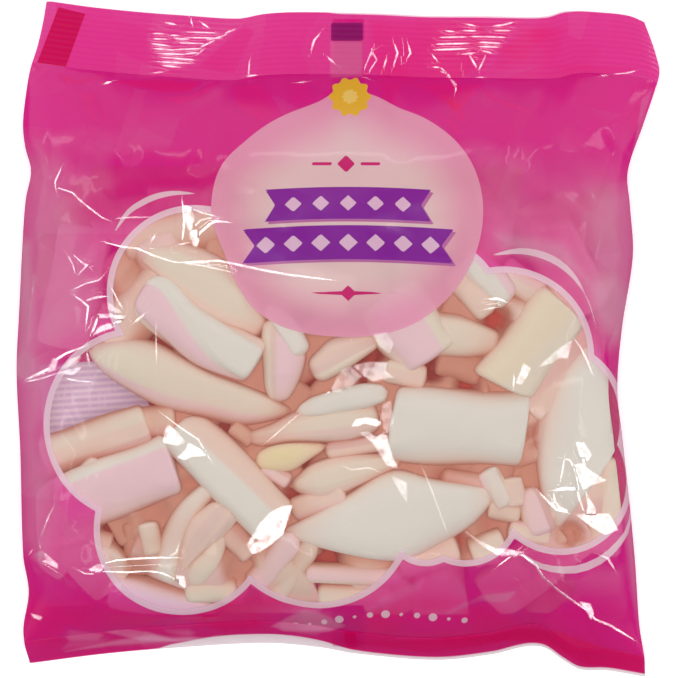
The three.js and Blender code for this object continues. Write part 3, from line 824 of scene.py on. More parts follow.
# Creases whose crest shines: points on the grid, the glint's width in grid steps, brightness.
SHINING_CREASES = [
    ([(109, 244), (125, 248), (141, 250), (157, 257), (175, 263), (182, 264)], 1.1, 1.0),
    ([(180, 264), (200, 263), (220, 262), (235, 265), (262, 271), (290, 276), (331, 281)], 1.3, 1.0),
    ([(188, 265), (205, 267), (232, 273)], 0.7, 0.7),
    ([(120, 220), (135, 219), (150, 219)], 0.6, 0.6),
    ([(63, 170), (57, 183), (58, 190)], 0.8, 0.8),
    ([(60, 189), (75, 194), (82, 201), (93, 210), (105, 219), (112, 222)], 0.9, 0.8),
    ([(184.5, 203), (187, 222), (185, 241)], 1.7, 1.2),
    ([(197, 243), (203, 234), (212, 226), (218, 223), (230, 224)], 1.5, 1.1),
    ([(196, 229), (203, 222), (216, 219)], 0.9, 0.9),
    ([(194, 211), (205, 215), (217, 218)], 0.8, 0.9),
    ([(182, 246), (192, 244)], 0.7, 0.8),
    ([(116, 290), (121, 300), (128, 312)], 0.8, 0.8),
    ([(79, 297), (85, 301), (92, 307), (90, 324)], 1.2, 0.9),
    ([(90, 301), (100, 298), (110, 297)], 1.4, 0.8),
    ([(102, 317), (98, 328), (94, 337)], 1.6, 1.0),
    ([(116, 325), (129, 319)], 1.6, 1.0),
    ([(79, 289), (90, 284), (103, 281), (108, 275)], 0.7, 0.7),
    ([(139, 322), (148, 315)], 1.6, 0.9),
    ([(154, 243), (158, 237)], 1.6, 0.6),
    ([(36, 276), (34, 294), (31, 310), (29, 328), (26, 345), (21, 364)], 1.4, 0.9),
    ([(72, 258), (76, 265), (78, 272)], 0.7, 0.7),
    ([(78, 257), (87, 265), (91, 266), (83, 274)], 0.9, 0.7),
    ([(22, 382), (40, 374), (55, 367), (60, 359), (70, 353), (89, 346)], 1.8, 0.9),
    ([(26, 382), (45, 378), (60, 373)], 0.8, 0.7),
    ([(70, 378), (82, 380.5), (94, 381)], 0.8, 0.9),
    ([(91, 353), (93, 363)], 1.6, 0.7),
    ([(159.5, 328), (160, 359)], 0.6, 0.6),
    ([(168, 414), (180, 423), (190, 430), (201, 437), (213, 457)], 0.7, 0.8),
    ([(108, 560), (120, 557), (140, 555), (160, 554), (181, 554)], 1.0, 1.2),
    ([(106, 568.5), (130, 569), (155, 568), (166, 570), (176, 575), (187, 585)], 1.0, 1.2),
    ([(171, 553), (179, 549), (182, 540)], 0.8, 0.6),
    ([(82, 568), (88, 571), (99, 571)], 0.6, 0.7),
    ([(58, 494), (58, 502), (52, 513), (46, 527), (41, 540)], 1.6, 0.6),
    ([(41, 540), (43, 548)], 0.9, 0.8),
    ([(34, 559), (48, 563), (61, 571)], 0.6, 0.8),
    ([(26, 558), (34, 549)], 0.7, 0.8),
    ([(31, 603), (26, 611), (24, 626)], 0.8, 0.7),
    ([(385, 404), (388, 416), (388, 430)], 1.4, 0.6),
    ([(268, 440), (282, 428), (298, 414)], 0.6, 0.4),
    ([(346, 465), (352, 467), (360, 466), (368, 465), (374, 467)], 0.6, 0.4),
    ([(345, 372), (346, 379), (349, 385)], 1.4, 1.0),
    ([(360, 370), (370, 376), (392, 378)], 1.9, 0.9),
    ([(327, 392), (337, 388), (346, 388)], 1.8, 0.8),
    ([(421, 466), (431, 490), (444, 526)], 0.6, 0.3),
    ([(487, 300), (495, 299.5), (502, 302)], 1.7, 1.1),
    ([(482, 310), (492, 308)], 0.6, 0.8),
    ([(511, 376), (510, 385)], 0.9, 0.9),
    ([(571, 339), (577, 347), (584, 360), (589, 373)], 1.0, 0.6),
    ([(578, 440), (580, 456), (582, 472)], 2.4, 0.7),
    ([(560, 457), (566, 458), (571, 466), (574, 478), (575, 489)], 1.2, 1.0),
    ([(561, 456), (559, 468), (557, 478)], 0.8, 0.8),
    ([(549, 488), (562, 486), (575, 487)], 2.4, 1.0),
    ([(550, 489), (551, 498), (556, 505), (564, 508)], 1.2, 1.0),
    ([(537, 491), (546, 500), (553, 507), (564, 510)], 1.2, 1.0),
    ([(573, 485), (576, 497), (580, 508)], 1.7, 0.9),
    ([(598, 553), (605, 556), (612, 567)], 1.5, 0.5),
    ([(505, 548), (520, 552), (533, 562), (541, 575), (556, 588), (573, 600), (590, 612)], 1.6, 0.9),
    ([(588, 610), (594, 618), (610, 625), (634, 640)], 1.5, 0.8),
    ([(496, 562), (508, 553), (517, 545)], 1.0, 0.9),
    ([(606, 372), (606, 345), (613, 331), (621, 312), (630, 284)], 0.9, 0.45),
    ([(365, 66), (372, 49), (377, 58), (370, 69)], 0.6, 0.7),
    ([(395, 42), (398, 51), (394, 64)], 1.0, 0.8),
    ([(384, 66), (387, 56)], 0.8, 0.7),
    ([(409, 43), (411, 51), (408, 56)], 1.1, 0.8),
    ([(362, 75), (367, 77)], 0.8, 0.7),
    ([(311, 48), (314, 38), (319, 32)], 1.2, 0.7),
    ([(328, 56), (334, 61)], 1.2, 0.7),
    ([(441, 66), (449, 74), (456, 88)], 0.8, 0.8),
    ([(247, 75), (256, 74)], 0.8, 0.8),
    ([(249, 60), (248, 76)], 0.5, 0.7),
    ([(104, 83), (110, 81)], 1.5, 0.8),
    ([(298, 82), (306, 81)], 0.8, 0.8),
    ([(617, 73), (628, 72), (636, 70)], 0.6, 0.7),
    ([(603, 75), (608, 74)], 0.8, 0.6),
    ([(384, 641), (396, 638), (408, 636)], 0.9, 0.6),
    ([(410, 634), (428, 635)], 0.7, 0.5),
]

# Flat facets that shine: corners on the grid, the lamp's azimuth, brightness.
SHINING_FACETS = [
    ([(186, 207), (194, 210), (196, 222), (193, 234), (190, 228), (187, 216)], 0, 0.9),
    ([(192, 232), (199, 232), (201, 243), (199, 248), (196, 247), (193, 240)], 45, 1.1),
    ([(112, 303), (118, 308), (129, 313), (118, 313), (112, 309)], 200, 0.5),
    ([(101, 315), (116, 314.5), (130, 317), (127, 321), (116, 317.5), (103, 318)], 270, 1.0),
    ([(94, 337), (104, 327), (112, 324), (119, 325), (116, 328), (106, 331)], 225, 1.0),
    ([(66, 368), (74, 359), (84, 356), (83, 360), (76, 365)], 135, 0.5),
    ([(61, 373), (73, 369), (85, 367), (77, 374)], 100, 0.7),
    ([(50, 371), (57, 358), (61, 360), (58, 370)], 150, 0.6),
    ([(172, 423), (180, 430), (188, 440), (180, 443), (167, 440), (168, 431)], 0, 0.9),
    ([(181, 455), (189, 448), (192, 441), (203, 447), (211, 453), (195, 453.5), (188, 457)], 90, 1.1),
    ([(283, 503), (293, 502), (288, 517), (284, 530), (272, 540), (263, 519), (272, 509)], 30, 1.1),
    ([(263, 518), (274, 539), (262, 547), (254, 550), (249, 541), (255, 531)], 50, 0.95),
    ([(92, 567), (100, 562), (107, 561), (105, 568), (96, 569.5)], 180, 0.9),
    ([(177, 572), (186, 573), (187.5, 580), (187, 585), (181, 580)], 330, 0.9),
    ([(34, 557), (37, 549), (43, 548), (52, 555), (60, 562), (60, 566), (50, 561)], 60, 0.7),
    ([(31, 614), (42, 617), (40, 620), (33, 617)], 90, 0.7),
    ([(330, 391), (336, 380), (342, 370), (352, 366), (362, 374), (352, 384), (341, 390)], 240, 0.45),
    ([(352, 366), (366, 362), (386, 362), (384, 370), (392, 377), (372, 380), (360, 373)], 180, 0.6),
    ([(352, 424), (356, 418), (366, 416), (384, 420), (376, 424), (364, 421), (357, 424)], 120, 0.9),
    ([(360, 431), (368, 430), (375, 436), (384, 430), (387, 440), (391, 455), (397, 466), (386, 462),
        (372, 440)], 0, 0.8),
    ([(391, 474), (399, 477), (405, 480), (405, 498), (399, 488)], 20, 0.5),
    ([(373, 335), (385, 333), (392, 344), (388, 352), (379, 346)], 300, 0.4),
    ([(382, 404), (389, 400), (392, 420), (386, 432), (380, 420)], 30, 0.35),
    ([(546, 357), (556, 348), (568, 341), (564, 358), (557, 357)], 330, 0.75),
    ([(536, 366), (546, 357), (558, 356), (549, 362)], 300, 0.7),
    ([(517, 372), (520, 363), (527, 368), (523, 376), (518, 383), (513, 382)], 60, 0.8),
    ([(573, 441), (580, 441), (588, 453), (584, 459), (577, 455)], 45, 1.0),
    ([(569, 463), (578, 462), (588, 470), (603, 479), (590, 482), (580, 487), (575, 477)], 20, 1.0),
    ([(582, 489), (586, 497), (592, 506), (592, 514), (583, 513), (585, 504)], 10, 1.0),
    ([(573, 512), (592, 512), (606, 512), (611, 521), (615, 528), (602, 532), (588, 524)], 70, 1.15),
    ([(463, 528), (478, 538), (492, 545), (503, 546), (494, 551), (482, 543)], 100, 1.0),
    ([(492, 545), (505, 546), (521, 549), (512, 553), (496, 551)], 80, 0.9),
    ([(578, 600), (588, 602), (592, 612), (590, 618), (586, 610)], 45, 0.9),
]

# Soft folds that don't shine: points on the grid, half width and height.
SOFT_CREASES = [
    ([(606, 120), (640, 200), (632, 260)], 4.0, 1.0),
    ([(38, 120), (46, 180), (36, 230)], 4.0, 1.0),
    ([(40, 606), (80, 605), (110, 602), (130, 594)], 2.0, 0.5),
    ([(60, 640), (110, 630), (150, 634), (190, 642)], 2.4, 0.6),
    ([(150, 622), (180, 618), (215, 632)], 2.4, 0.6),
    ([(270, 630), (305, 610), (345, 626)], 2.4, 0.6),
    ([(440, 612), (478, 593), (512, 590)], 2.6, 0.7),
    ([(360, 615), (390, 592), (425, 570)], 2.4, 0.6),
    ([(60, 520), (98, 512), (100, 500)], 2.0, 0.5),
    ([(50, 546), (80, 540), (98, 530)], 2.0, 0.5),
]

RIDGE_ROUNDING = 0.012
KINK_ROUNDING = 0.01


def crease_field(x, y):
    """Ridges with straight flanks, fading out at their ends."""
    z = np.zeros_like(x)
    shining = [(line, 1.4 + 0.5 * wide, 0.3 + 0.2 * wide) for line, wide, _ in SHINING_CREASES]
    for line, half, height in shining + SOFT_CREASES:
        points = spots(line)
        near = near_box(points, half, x, y)
        if len(near):
            signed, along = to_line(points, x[near], y[near])
            taper = np.clip(4 * along * (1 - along), 0, 1) ** 0.6
            z[near] += height * taper * np.clip(1 - np.sqrt((signed / half) ** 2 + RIDGE_ROUNDING), 0, 1)
    return z


def crumple_field(x, y, count, seed):
    """Many small bends at seeded places: each is a straight kink that fades away from its middle."""
    rng = np.random.default_rng(seed)
    z = np.zeros_like(x)
    for _ in range(count):
        cx, cy = rng.uniform(-122, 120), rng.uniform(-118, 112)
        angle = rng.uniform(0, np.pi)
        size = rng.uniform(5, 20)
        height = rng.uniform(0.015, 0.055) * size * rng.choice([-1, 1])
        near = near_box([(cx, cy)], 2.2 * size, x, y)
        dx, dy = x[near] - cx, y[near] - cy
        along = (math.cos(angle) * dx + math.sin(angle) * dy) / size
        across = (math.cos(angle) * dy - math.sin(angle) * dx) / (0.45 * size)
        z[near] += height * np.exp(-(along**2) - across**2) * (1 - np.sqrt(across**2 + KINK_ROUNDING))
    return z


CRUMPLES, CRUMPLE_SEED = 420, 3
# The film is less crumpled where it rises over sweets, and towards the top from here on:
# by which share, and over which rise or run.
SMOOTHED_BY_SWEETS, SMOOTHING_RISE = 0.55, 2.5
SMOOTHED_AT_TOP, SMOOTH_ABOVE, SMOOTH_RUN = 0.85, row_y(205), 16
SEAL_BLEND, FOLD_BLEND = 7, 8
LEAST_GAP = 0.2


def film_height(place, front):
    """Height of the front film with its creases, never below the sweets."""
    x, y = place.x, place.y
    rise = sample(rise_field, x, y)
    loose = 1 - SMOOTHED_BY_SWEETS * smooth(rise / SMOOTHING_RISE)
    loose = loose * (1 - SMOOTHED_AT_TOP * smooth((y - SMOOTH_ABOVE) / SMOOTH_RUN))
    creases = crease_field(x, y) + crumple_field(x, y, CRUMPLES, CRUMPLE_SEED) * loose
    z = front + rise * smooth(place.to_seal / SEAL_BLEND) + creases * place.shown
    return np.maximum(z, sample(env_field, x, y) + LEAST_GAP)


def front_height(place):
    return film_height(place, place.front())


def back_height(place):
    """Height of the back film, which rises to meet the front film along the side folds."""
    z = place.back()
    for share, edge in ((0.0, left_edge), (1.0, right_edge)):
        fold = Place(edge(place.y), place.y, np.full_like(place.y, share))
        lifted = front_height(fold) - fold.back()
        z = z + lifted * (1 - smooth(np.abs(place.x - fold.x) / FOLD_BLEND))
    return z


# ---------------------------------------------------------------- glints

# The camera's place and the lamps are in metres.
CAMERA_HEIGHT, CREST_HEIGHT = 1.6, 0.02
CAMERA_PLACE = np.array([*((spot(339, 339) - MIDDLE) * MM), CAMERA_HEIGHT])

# A ring of narrow lamps round the bag makes its glints.
LAMP_COUNT, LAMP_WATTS, LAMP_TILTS = 8, 0.2, (50, 54)
LAMP_DISTANCE, LAMP_LENGTH, LAMP_WIDTH = 1.3, 0.48, 0.06


def lamp_place(k):
    turn, tilt = 2 * math.pi * k / LAMP_COUNT, math.radians(LAMP_TILTS[k % 2])
    out = math.sin(tilt)
    return LAMP_DISTANCE * np.array([math.cos(turn) * out, math.sin(turn) * out, math.cos(tilt)])


LAMP_PLACES = [lamp_place(k) for k in range(LAMP_COUNT)]


def unit(vectors):
    return vectors / np.linalg.norm(vectors, axis=1)[:, None]


def mirror_direction(places, azimuth):
    """The way the film must face at each place to throw the light of the lamp there straight up."""
    k = round(azimuth / (2 * math.pi) * LAMP_COUNT) % LAMP_COUNT
    return unit(unit(LAMP_PLACES[k] - places) + unit(CAMERA_PLACE - places))


# Where nothing shines, the nearest glint counts as this far away.
FAR = 9.0
GLINT_REACH = 3
# The share of a crease's width that shines, and how much brighter creases are than facets.
CREST_SHARE, CREST_GAIN = 0.55, 1.2


def glint_values(x, y, z):
    """Where the film shines: facets as a distance, creases as a signed distance and a half width.

    Each place also has the brightness of the nearest one, and the way the film faces there."""
    facet, side, half = np.full_like(x, FAR), np.full_like(x, FAR), np.zeros_like(x)
    nearest, sparkle = np.full_like(x, FAR), np.zeros_like(x)
    mirror = np.tile([0.0, 0.0, 1.0], (len(x), 1))
    places = np.c_[x - MIDDLE[0], y - MIDDLE[1], z] * MM

    def choose(near, distance, bright, azimuth):
        closer = distance < nearest[near]
        chosen = near[closer]
        nearest[chosen], sparkle[chosen] = distance[closer], bright
        mirror[chosen] = mirror_direction(places[chosen], azimuth)

    for corners, azimuth, bright in SHINING_FACETS:
        near = near_box(spots(corners), GLINT_REACH, x, y)
        if len(near):
            distance = polygon_distance(corners, x[near], y[near])
            facet[near] = np.minimum(facet[near], distance)
            choose(near, distance, bright, math.radians(azimuth))
    ribs = [([a, b], wide, RIB_BRIGHTNESS) for a, b, wide in RIB_GLINTS]
    for line, wide, bright in SHINING_CREASES + ribs:
        points = spots(line)
        near = near_box(points, GLINT_REACH, x, y)
        if len(near):
            signed, along = to_line(points, x[near], y[near])
            halves = stroke_width(CREST_SHARE * wide * GRID, along)
            run = points[-1] - points[0]
            closer = np.abs(signed) < np.abs(side[near])
            side[near[closer]], half[near[closer]] = signed[closer], halves[closer]
            choose(near, np.abs(signed) - halves, CREST_GAIN * bright, math.atan2(run[0], -run[1]))
    return dict(facet=facet, side=side, half=half, sparkle=sparkle, mirror=mirror)


# ---------------------------------------------------------------- the print, and the film's painted shade and sheen, as distances

OUTLINE = 2.4
# Lobes of the cloud, outline included: column, row and radius on the grid.
LOBES = [
    (196.5, 293, 86), (141.5, 423, 95), (184, 527, 86.5), (317, 511, 95), (424, 524, 38), (464, 508, 54.5),
    (558.5, 479, 72.7), (587, 406.5, 30.5), (501.5, 357.5, 89.8), (300, 380, 120), (400, 440, 110),
    (260, 440, 110), (450, 400, 110), (545, 420, 80), (440, 300, 56),
]
# The badge round its middle: direction in degrees, and radius.
BADGE_MIDDLE = (347, 215)
badge_radius = through([
    (-180, 51), (-160, 48.2), (-132, 49.8), (-94, 46.4), (-53, 48.6), (0, 50.9), (24, 50.4), (51, 46.7),
    (64, 45), (78, 46.6), (91, 48), (104, 44.2), (117, 43.9), (143, 46.8), (160, 50.6), (180, 51),
])
# Strokes beside the cloud's outline: points on the grid, and half the width in grid steps.
TRIMS = [
    (arc([(117.5, 234), (130, 215), (145, 204.5), (160, 198), (177, 195), (197.5, 195.5)]), 3.0),
    (arc([(488, 257), (514, 252.5), (535, 255), (554, 263), (570, 276.5), (582, 294)]), 3.5),
    (arc([(570, 276), (584, 299), (591, 319), (594, 333)]), 0.8),
    (arc([(514, 545), (527, 557), (541, 564), (559, 567), (578, 565.5), (598, 557.5), (615, 543),
        (626, 528), (630, 508)]), 3.9),
]
# A row of dots below the window, of three sizes in turn.
DOTS = arc([(228, 637), (300, 627), (380, 612), (464, 619)], 17)
DOT_RADII = (0.75, 1.2, 1.65)
# The top seal's folded corner and dark block.
FLAP = [(56, 4), (83, 11), (61, 75), (30, 76)]
MARK = [(331, 20), (363, 20), (363, 38.5), (331, 38.5)]

# Painted shade and sheen of the film: below 0 it looks deeper, where the film lies double and where shade is
# painted in its folds; above 0 it looks paler, a painted sheen. Corners on the grid, shade, softness.
SHADE_AND_SHEEN_AREAS = [
    ([(22, 150), (62, 170), (100, 260), (90, 330), (28, 370), (18, 280)], 0.6, 9),
    ([(18, 360), (56, 372), (46, 430), (58, 480), (40, 560), (22, 540)], 0.75, 7),
    ([(35, 140), (90, 128), (118, 140), (118, 196), (70, 190), (38, 172)], 0.14, 3),
    ([(98, 128), (220, 118), (216, 152), (150, 150), (104, 160)], 0.1, 4),
    ([(106, 158), (160, 150), (214, 152), (212, 186), (170, 192), (120, 200)], -0.12, 3),
    ([(34, 566), (60, 570), (82, 582), (79, 606), (42, 601)], 0.22, 1.2),
    ([(50, 500), (96, 508), (97, 556), (60, 566), (40, 552)], 0.12, 4),
    ([(585, 190), (634, 190), (636, 290), (612, 330), (592, 310), (584, 250)], 0.4, 6),
    ([(470, 150), (560, 140), (640, 180), (640, 320), (600, 330), (560, 280), (490, 240)], 0.3, 9),
    ([(466, 150), (520, 150), (524, 248), (484, 256)], 0.16, 6),
    ([(606, 345), (621, 312), (623, 340), (617, 393), (606, 373)], 0.25, 0.6),
    ([(622, 310), (630, 284), (634, 300), (624, 330)], 0.5, 0.8),
    ([(520, 255), (575, 285), (600, 340), (592, 370), (560, 300)], 0.1, 4),
    ([(610, 440), (624, 440), (634, 540), (640, 640), (632, 600), (622, 520)], 0.7, 2),
    ([(641, 98), (652, 90), (640, 150), (633, 160), (636, 130)], 0.4, 1),
    ([(652, 80), (641, 100), (634, 140), (629, 150), (632, 118), (640, 96)], -0.35, 1),
    ([(57, 72), (76, 79), (104, 73), (104, 76), (78, 84), (62, 81)], -0.5, 0.8),
    ([(112, 80), (160, 79), (200, 82), (188, 92), (164, 92), (138, 87)], -0.65, 0.8),
    ([(165, 98), (190, 95), (218, 82), (206, 94), (180, 105)], -0.4, 1),
    ([(80, 92), (92, 95), (98, 122), (85, 112)], -0.25, 1.5),
    ([(234, 86), (262, 84), (282, 118), (262, 123), (238, 107)], -0.35, 1),
    ([(288, 84), (306, 84), (312, 100), (296, 106)], -0.25, 1.2),
    ([(380, 84), (402, 84), (396, 104), (386, 104)], -0.35, 1),
    ([(418, 84), (446, 84), (480, 84), (466, 104), (456, 112)], -0.5, 1),
    ([(446, 96), (462, 108), (467, 124), (452, 120)], -0.4, 1),
    ([(476, 84), (500, 101), (512, 104), (530, 113), (508, 108), (492, 100)], -0.5, 0.6),
    ([(436, 116), (450, 120), (462, 135), (452, 133)], -0.3, 1.2),
    ([(480, 120), (560, 90), (630, 120), (600, 170), (510, 190)], -0.1, 8),
    ([(500, 132), (540, 126), (560, 150), (500, 170)], -0.12, 4),
    ([(204, 606), (262, 588), (296, 604), (276, 622), (226, 636), (196, 624)], -0.3, 2),
    ([(350, 612), (440, 596), (480, 602), (540, 626), (480, 644), (344, 640)], -0.35, 4),
    ([(30, 600), (110, 604), (200, 612), (200, 640), (120, 652), (28, 662)], -0.2, 6),
    ([(270, 628), (304, 608), (318, 610), (346, 626), (330, 633), (284, 633)], 0.55, 1),
    ([(104, 633), (122, 629), (146, 633), (170, 641), (206, 640), (232, 634), (190, 645),
        (140, 643)], 0.5, 0.8),
    ([(150, 622), (176, 616), (196, 622), (222, 634), (186, 637), (164, 634)], 0.3, 1),
    ([(54, 637), (70, 628), (102, 636), (96, 642), (70, 642)], 0.34, 1.2),
    ([(62, 655), (120, 642), (150, 637), (176, 644), (110, 648)], 0.36, 0.8),
    ([(440, 614), (462, 600), (480, 592), (514, 589), (506, 599), (480, 600)], 0.5, 0.8),
    ([(478, 592), (514, 589), (520, 612), (530, 628), (500, 612)], 0.2, 1.5),
    ([(360, 612), (384, 592), (424, 574), (420, 586), (390, 600)], 0.24, 0.8),
    ([(372, 590), (410, 572), (460, 568), (452, 596), (400, 606)], -0.12, 4),
    ([(10, 646), (120, 640), (230, 634), (320, 630), (330, 664), (120, 676), (10, 680)], 0.3, 3),
    ([(66, 628), (190, 628), (200, 648), (60, 652)], 0.42, 3),
    ([(258, 608), (368, 606), (366, 634), (262, 632)], 0.25, 3),
    ([(604, 380), (626, 380), (634, 500), (622, 505), (610, 440)], 0.7, 1.5),
    ([(584, 285), (612, 280), (628, 300), (622, 345), (606, 350), (596, 330)], 0.5, 4),
    ([(16, 236), (32, 244), (36, 300), (34, 372), (16, 376)], 0.6, 3),
    ([(540, 574), (622, 566), (624, 600), (560, 604)], 0.3, 4),
    ([(494, 236), (560, 244), (584, 280), (560, 268), (500, 250)], 0.55, 3),
    ([(300, 608), (366, 608), (366, 634), (300, 636)], 0.15, 3),
    ([(400, 606), (470, 604), (474, 632), (400, 634)], 0.2, 3),
    ([(500, 26), (566, 26), (556, 62), (500, 66)], -0.25, 2),
    ([(331, 39), (363, 39), (363, 76), (331, 76)], 0.35, 0.8),
    ([(344, 632), (356, 634), (357, 654), (346, 652)], -0.5, 0.4),
    ([(340, 644), (430, 641), (490, 636), (520, 630), (500, 646), (430, 656)], -0.45, 1),
    ([(486, 642), (524, 630), (560, 632), (604, 648), (644, 658), (646, 676), (586, 668),
        (548, 646)], -0.6, 1),
    ([(372, 18), (520, 18), (486, 60), (452, 84), (376, 84)], -0.3, 2),
    ([(200, 66), (243, 24), (252, 30), (232, 72)], -0.2, 0.8),
    ([(500, 46), (540, 24), (560, 26), (520, 60)], -0.2, 1.5),
    ([(550, 62), (640, 66), (640, 70), (500, 80)], -0.15, 0.8),
]
# The film is darker towards the bottom: by this much, from here on, over this run.
LOWER_TONE, LOWER_FROM, LOWER_RUN = -0.32, row_y(560), 60 * GRID
# Painted shade and sheen of the small folds' facets: how strong, how many, seed.
FACET_SHADE_LAYERS = [(0.08, 90, 11), (0.05, 300, 12)]


def facet_shade(x, y, count, seed):
    """Painted shade and sheen on the flat facets between the small folds: every place takes the shade of its
    nearest seed.
    """
    rng = np.random.default_rng(seed)
    seeds = np.c_[rng.uniform(-126, 126, count), rng.uniform(-130, 130, count)]
    shades = rng.uniform(-1, 1, count)
    nearest, best = np.zeros(len(x), int), np.full(len(x), 1e9)
    for k, (sx, sy) in enumerate(seeds):
        away = (x - sx) ** 2 + (y - sy) ** 2
        nearest = np.where(away < best, k, nearest)
        best = np.minimum(best, away)
    return shades[nearest]


def shade_and_sheen(x, y):
    """How much paler or deeper than plain ink the film looks, from 1 to -1: paler is painted sheen, deeper is
    film lying double and painted shade in its folds.
    """
    total = LOWER_TONE * smooth((LOWER_FROM - y) / LOWER_RUN)
    total = total + sum(share * facet_shade(x, y, count, seed) for share, count, seed in FACET_SHADE_LAYERS)
    for corners, shade, soft in SHADE_AND_SHEEN_AREAS:
        total = total + shade * (1 - smooth(polygon_distance(corners, x, y) / (2 * soft) + 0.5))
    return np.clip(total, -1, 1)


# The ornament, in grid steps: how far the ribbons lie above and below its middle, how they arch,
# where their shade falls, and the diamonds' pitch and squatness.
UPPER_RIBBON, LOWER_RIBBON = 19, 20
RIBBON_ARCH, RIBBON_SHADE = 4, 2.5
DIAMOND_PITCH, DIAMOND_SQUAT = 27, 1.1
ROSETTE_RADIUS, PETALS, PETAL_DEPTH = 19.5, 10, 1.8


def ribbon(u, v, half_length, half_height, notch):
    """A ribbon whose ends are notched."""
    ends = np.abs(u) - half_length - notch * np.abs(v) / half_height
    return np.maximum(ends, np.abs(v) - half_height)


def ribbons(u, v):
    return np.minimum(ribbon(u, v - UPPER_RIBBON, 72, 16, 10), ribbon(u, v + LOWER_RIBBON, 92, 17, 12))


def diamonds(u, v, beside, size):
    """A row of diamonds, with this many beside the middle one on either side."""
    rows = [np.abs(u - DIAMOND_PITCH * k) for k in range(-beside, beside + 1)]
    return np.min(rows, axis=0) + DIAMOND_SQUAT * np.abs(v) - size


def from_spot(column, row, x, y):
    """Grid steps to the right of a place on the grid, and above it."""
    cx, cy = spot(column, row)
    return (x - cx) / GRID, (y - cy) / GRID


def ornament(x, y):
    """The badge's plain ornament: two ribbons with diamonds, a rule above and below, and a rosette."""
    u, v = from_spot(348, 228, x, y)
    v = v - RIBBON_ARCH * np.cos(u / 100 * np.pi / 2)
    band, tail = ribbons(u, v), ribbons(u - RIBBON_SHADE, v + RIBBON_SHADE)
    pale = np.minimum(diamonds(u, v - UPPER_RIBBON, 2, 8.5), diamonds(u, v + LOWER_RIBBON, 3, 9.5))
    u, v = np.abs(from_spot(346, 166, x, y))
    rule_over = np.minimum(np.max([v - 1.6, u - 34, 14 - u], axis=0), u + v - 9)
    u, v = np.abs(from_spot(348, 294, x, y))
    rule_under = np.minimum(np.maximum(v - 2.2 * (1 - u / 50), u - 50), u + v - 8)
    u, v = from_spot(350, 97, x, y)
    out, wave = np.hypot(u, v), np.cos(PETALS * np.arctan2(v, u))
    rosette = out - ROSETTE_RADIUS - PETAL_DEPTH * wave * smooth(out / 12)
    marks = dict(band=band, tail=tail, pale=pale, rule=np.minimum(rule_over, rule_under), rosette=rosette)
    return {name: distance * GRID for name, distance in marks.items()}


def trim_distance(x, y):
    """Distance to the strokes and dots beside the window."""
    strokes = []
    for line, half in TRIMS:
        signed, along = to_line(spots(line), x, y)
        strokes.append(np.abs(signed) - stroke_width(half * GRID, along))
    for k, place in enumerate(DOTS):
        strokes.append(away_from(place, x, y) - DOT_RADII[k % len(DOT_RADII)])
    return np.min(strokes, axis=0)


def print_values(x, y):
    """Distances to everything that is printed, and the film's painted shade and sheen."""
    right, up = from_spot(*BADGE_MIDDLE, x, y)
    lobes = [away_from((column, row), x, y) - radius * GRID for column, row, radius in LOBES]
    return dict(
        window=np.min(lobes, axis=0) + OUTLINE,
        badge=away_from(BADGE_MIDDLE, x, y) - badge_radius(np.degrees(np.arctan2(up, right))),
        trim=trim_distance(x, y),
        shade_and_sheen=shade_and_sheen(x, y),
        flap=polygon_distance(FLAP, x, y),
        mark=polygon_distance(MARK, x, y),
        **ornament(x, y),
    )


# ---------------------------------------------------------------- film pieces


def film_sheet(name, low, high, rows, columns, heights, up=True, extra=None):
    """A sheet of film between two curves across the bag, with the print and the glints on it."""
    place = sheet_places(low, high, rows, columns)
    z = heights(place)
    values = print_values(place.x, place.y) | glint_values(place.x, place.y, z)
    if extra:
        values |= extra(place)
    return add_mesh(name, np.c_[place.x, place.y, z], [grid_faces(rows, columns, up)], values=values)


# Where the top seal's ribs stand up and catch the light.
RIB_PATCHES = [
    [(148, 22), (240, 18), (178, 74), (152, 74)],
    [(455, 16), (472, 16), (472, 52), (430, 62)],
    [(476, 16), (518, 16), (482, 72), (474, 60)],
]
RIB_PITCH, LOW_RIB, HIGH_RIB = 2.1, 0.02, 0.14


def seal_height(place, from_edge, depth, fade, rib_share):
    """Height of a seal, whose fine ribs fade out at both its edges."""
    raised = np.min([polygon_distance(p, place.x, place.y) for p in RIB_PATCHES], axis=0)
    rib = lerp(LOW_RIB, HIGH_RIB, 1 - smooth((raised + 1) / 2.5))
    wave = rib * np.sin(2 * np.pi * from_edge / RIB_PITCH)
    shown = smooth(from_edge / fade) * smooth((depth - from_edge) / fade)
    return place.fold + SHEET / 2 + rib_share * wave * shown


def top_seal_height(place):
    return seal_height(place, place.to_top, TOP_SEAL, 1.2, 1.0)


def bottom_seal_height(place):
    return seal_height(place, place.to_bottom, BOTTOM_SEAL, 1.0, 0.5)


def bottom_edge_values(place):
    """How far inside the unprinted strip along the bottom edge a place is."""
    wide_part = np.exp(-(((place.across - column_x(262)) / 30) ** 4))
    width = 1.1 * smooth((place.across - column_x(150)) / 8) + 2.6 * wide_part
    return dict(bare=place.to_bottom - width)


def top_edge_values(place):
    """How far inside the thin unprinted strip along the top edge a place is."""
    starts, ends = (place.across - column_x(320)) / 6, (column_x(600) - place.across) / 10
    return dict(bare=place.to_top - 0.55 * smooth(starts) * smooth(ends))


LABEL_TILT, LABEL_HALF_LENGTH, LABEL_HALF_HEIGHT = math.radians(4), 27, 17


def label_values(place):
    """The plain striped panel printed on the back, seen from inside."""
    cx, cy = spot(110, 405)
    along = (place.x - cx) * math.cos(LABEL_TILT) + (place.y - cy) * math.sin(LABEL_TILT)
    row = (place.y - cy) * math.cos(LABEL_TILT) - (place.x - cx) * math.sin(LABEL_TILT)
    return dict(label=np.maximum(np.abs(along) - LABEL_HALF_LENGTH, np.abs(row) - LABEL_HALF_HEIGHT), row=row)


BACK_STRIP_ENDS = (-118, 123)


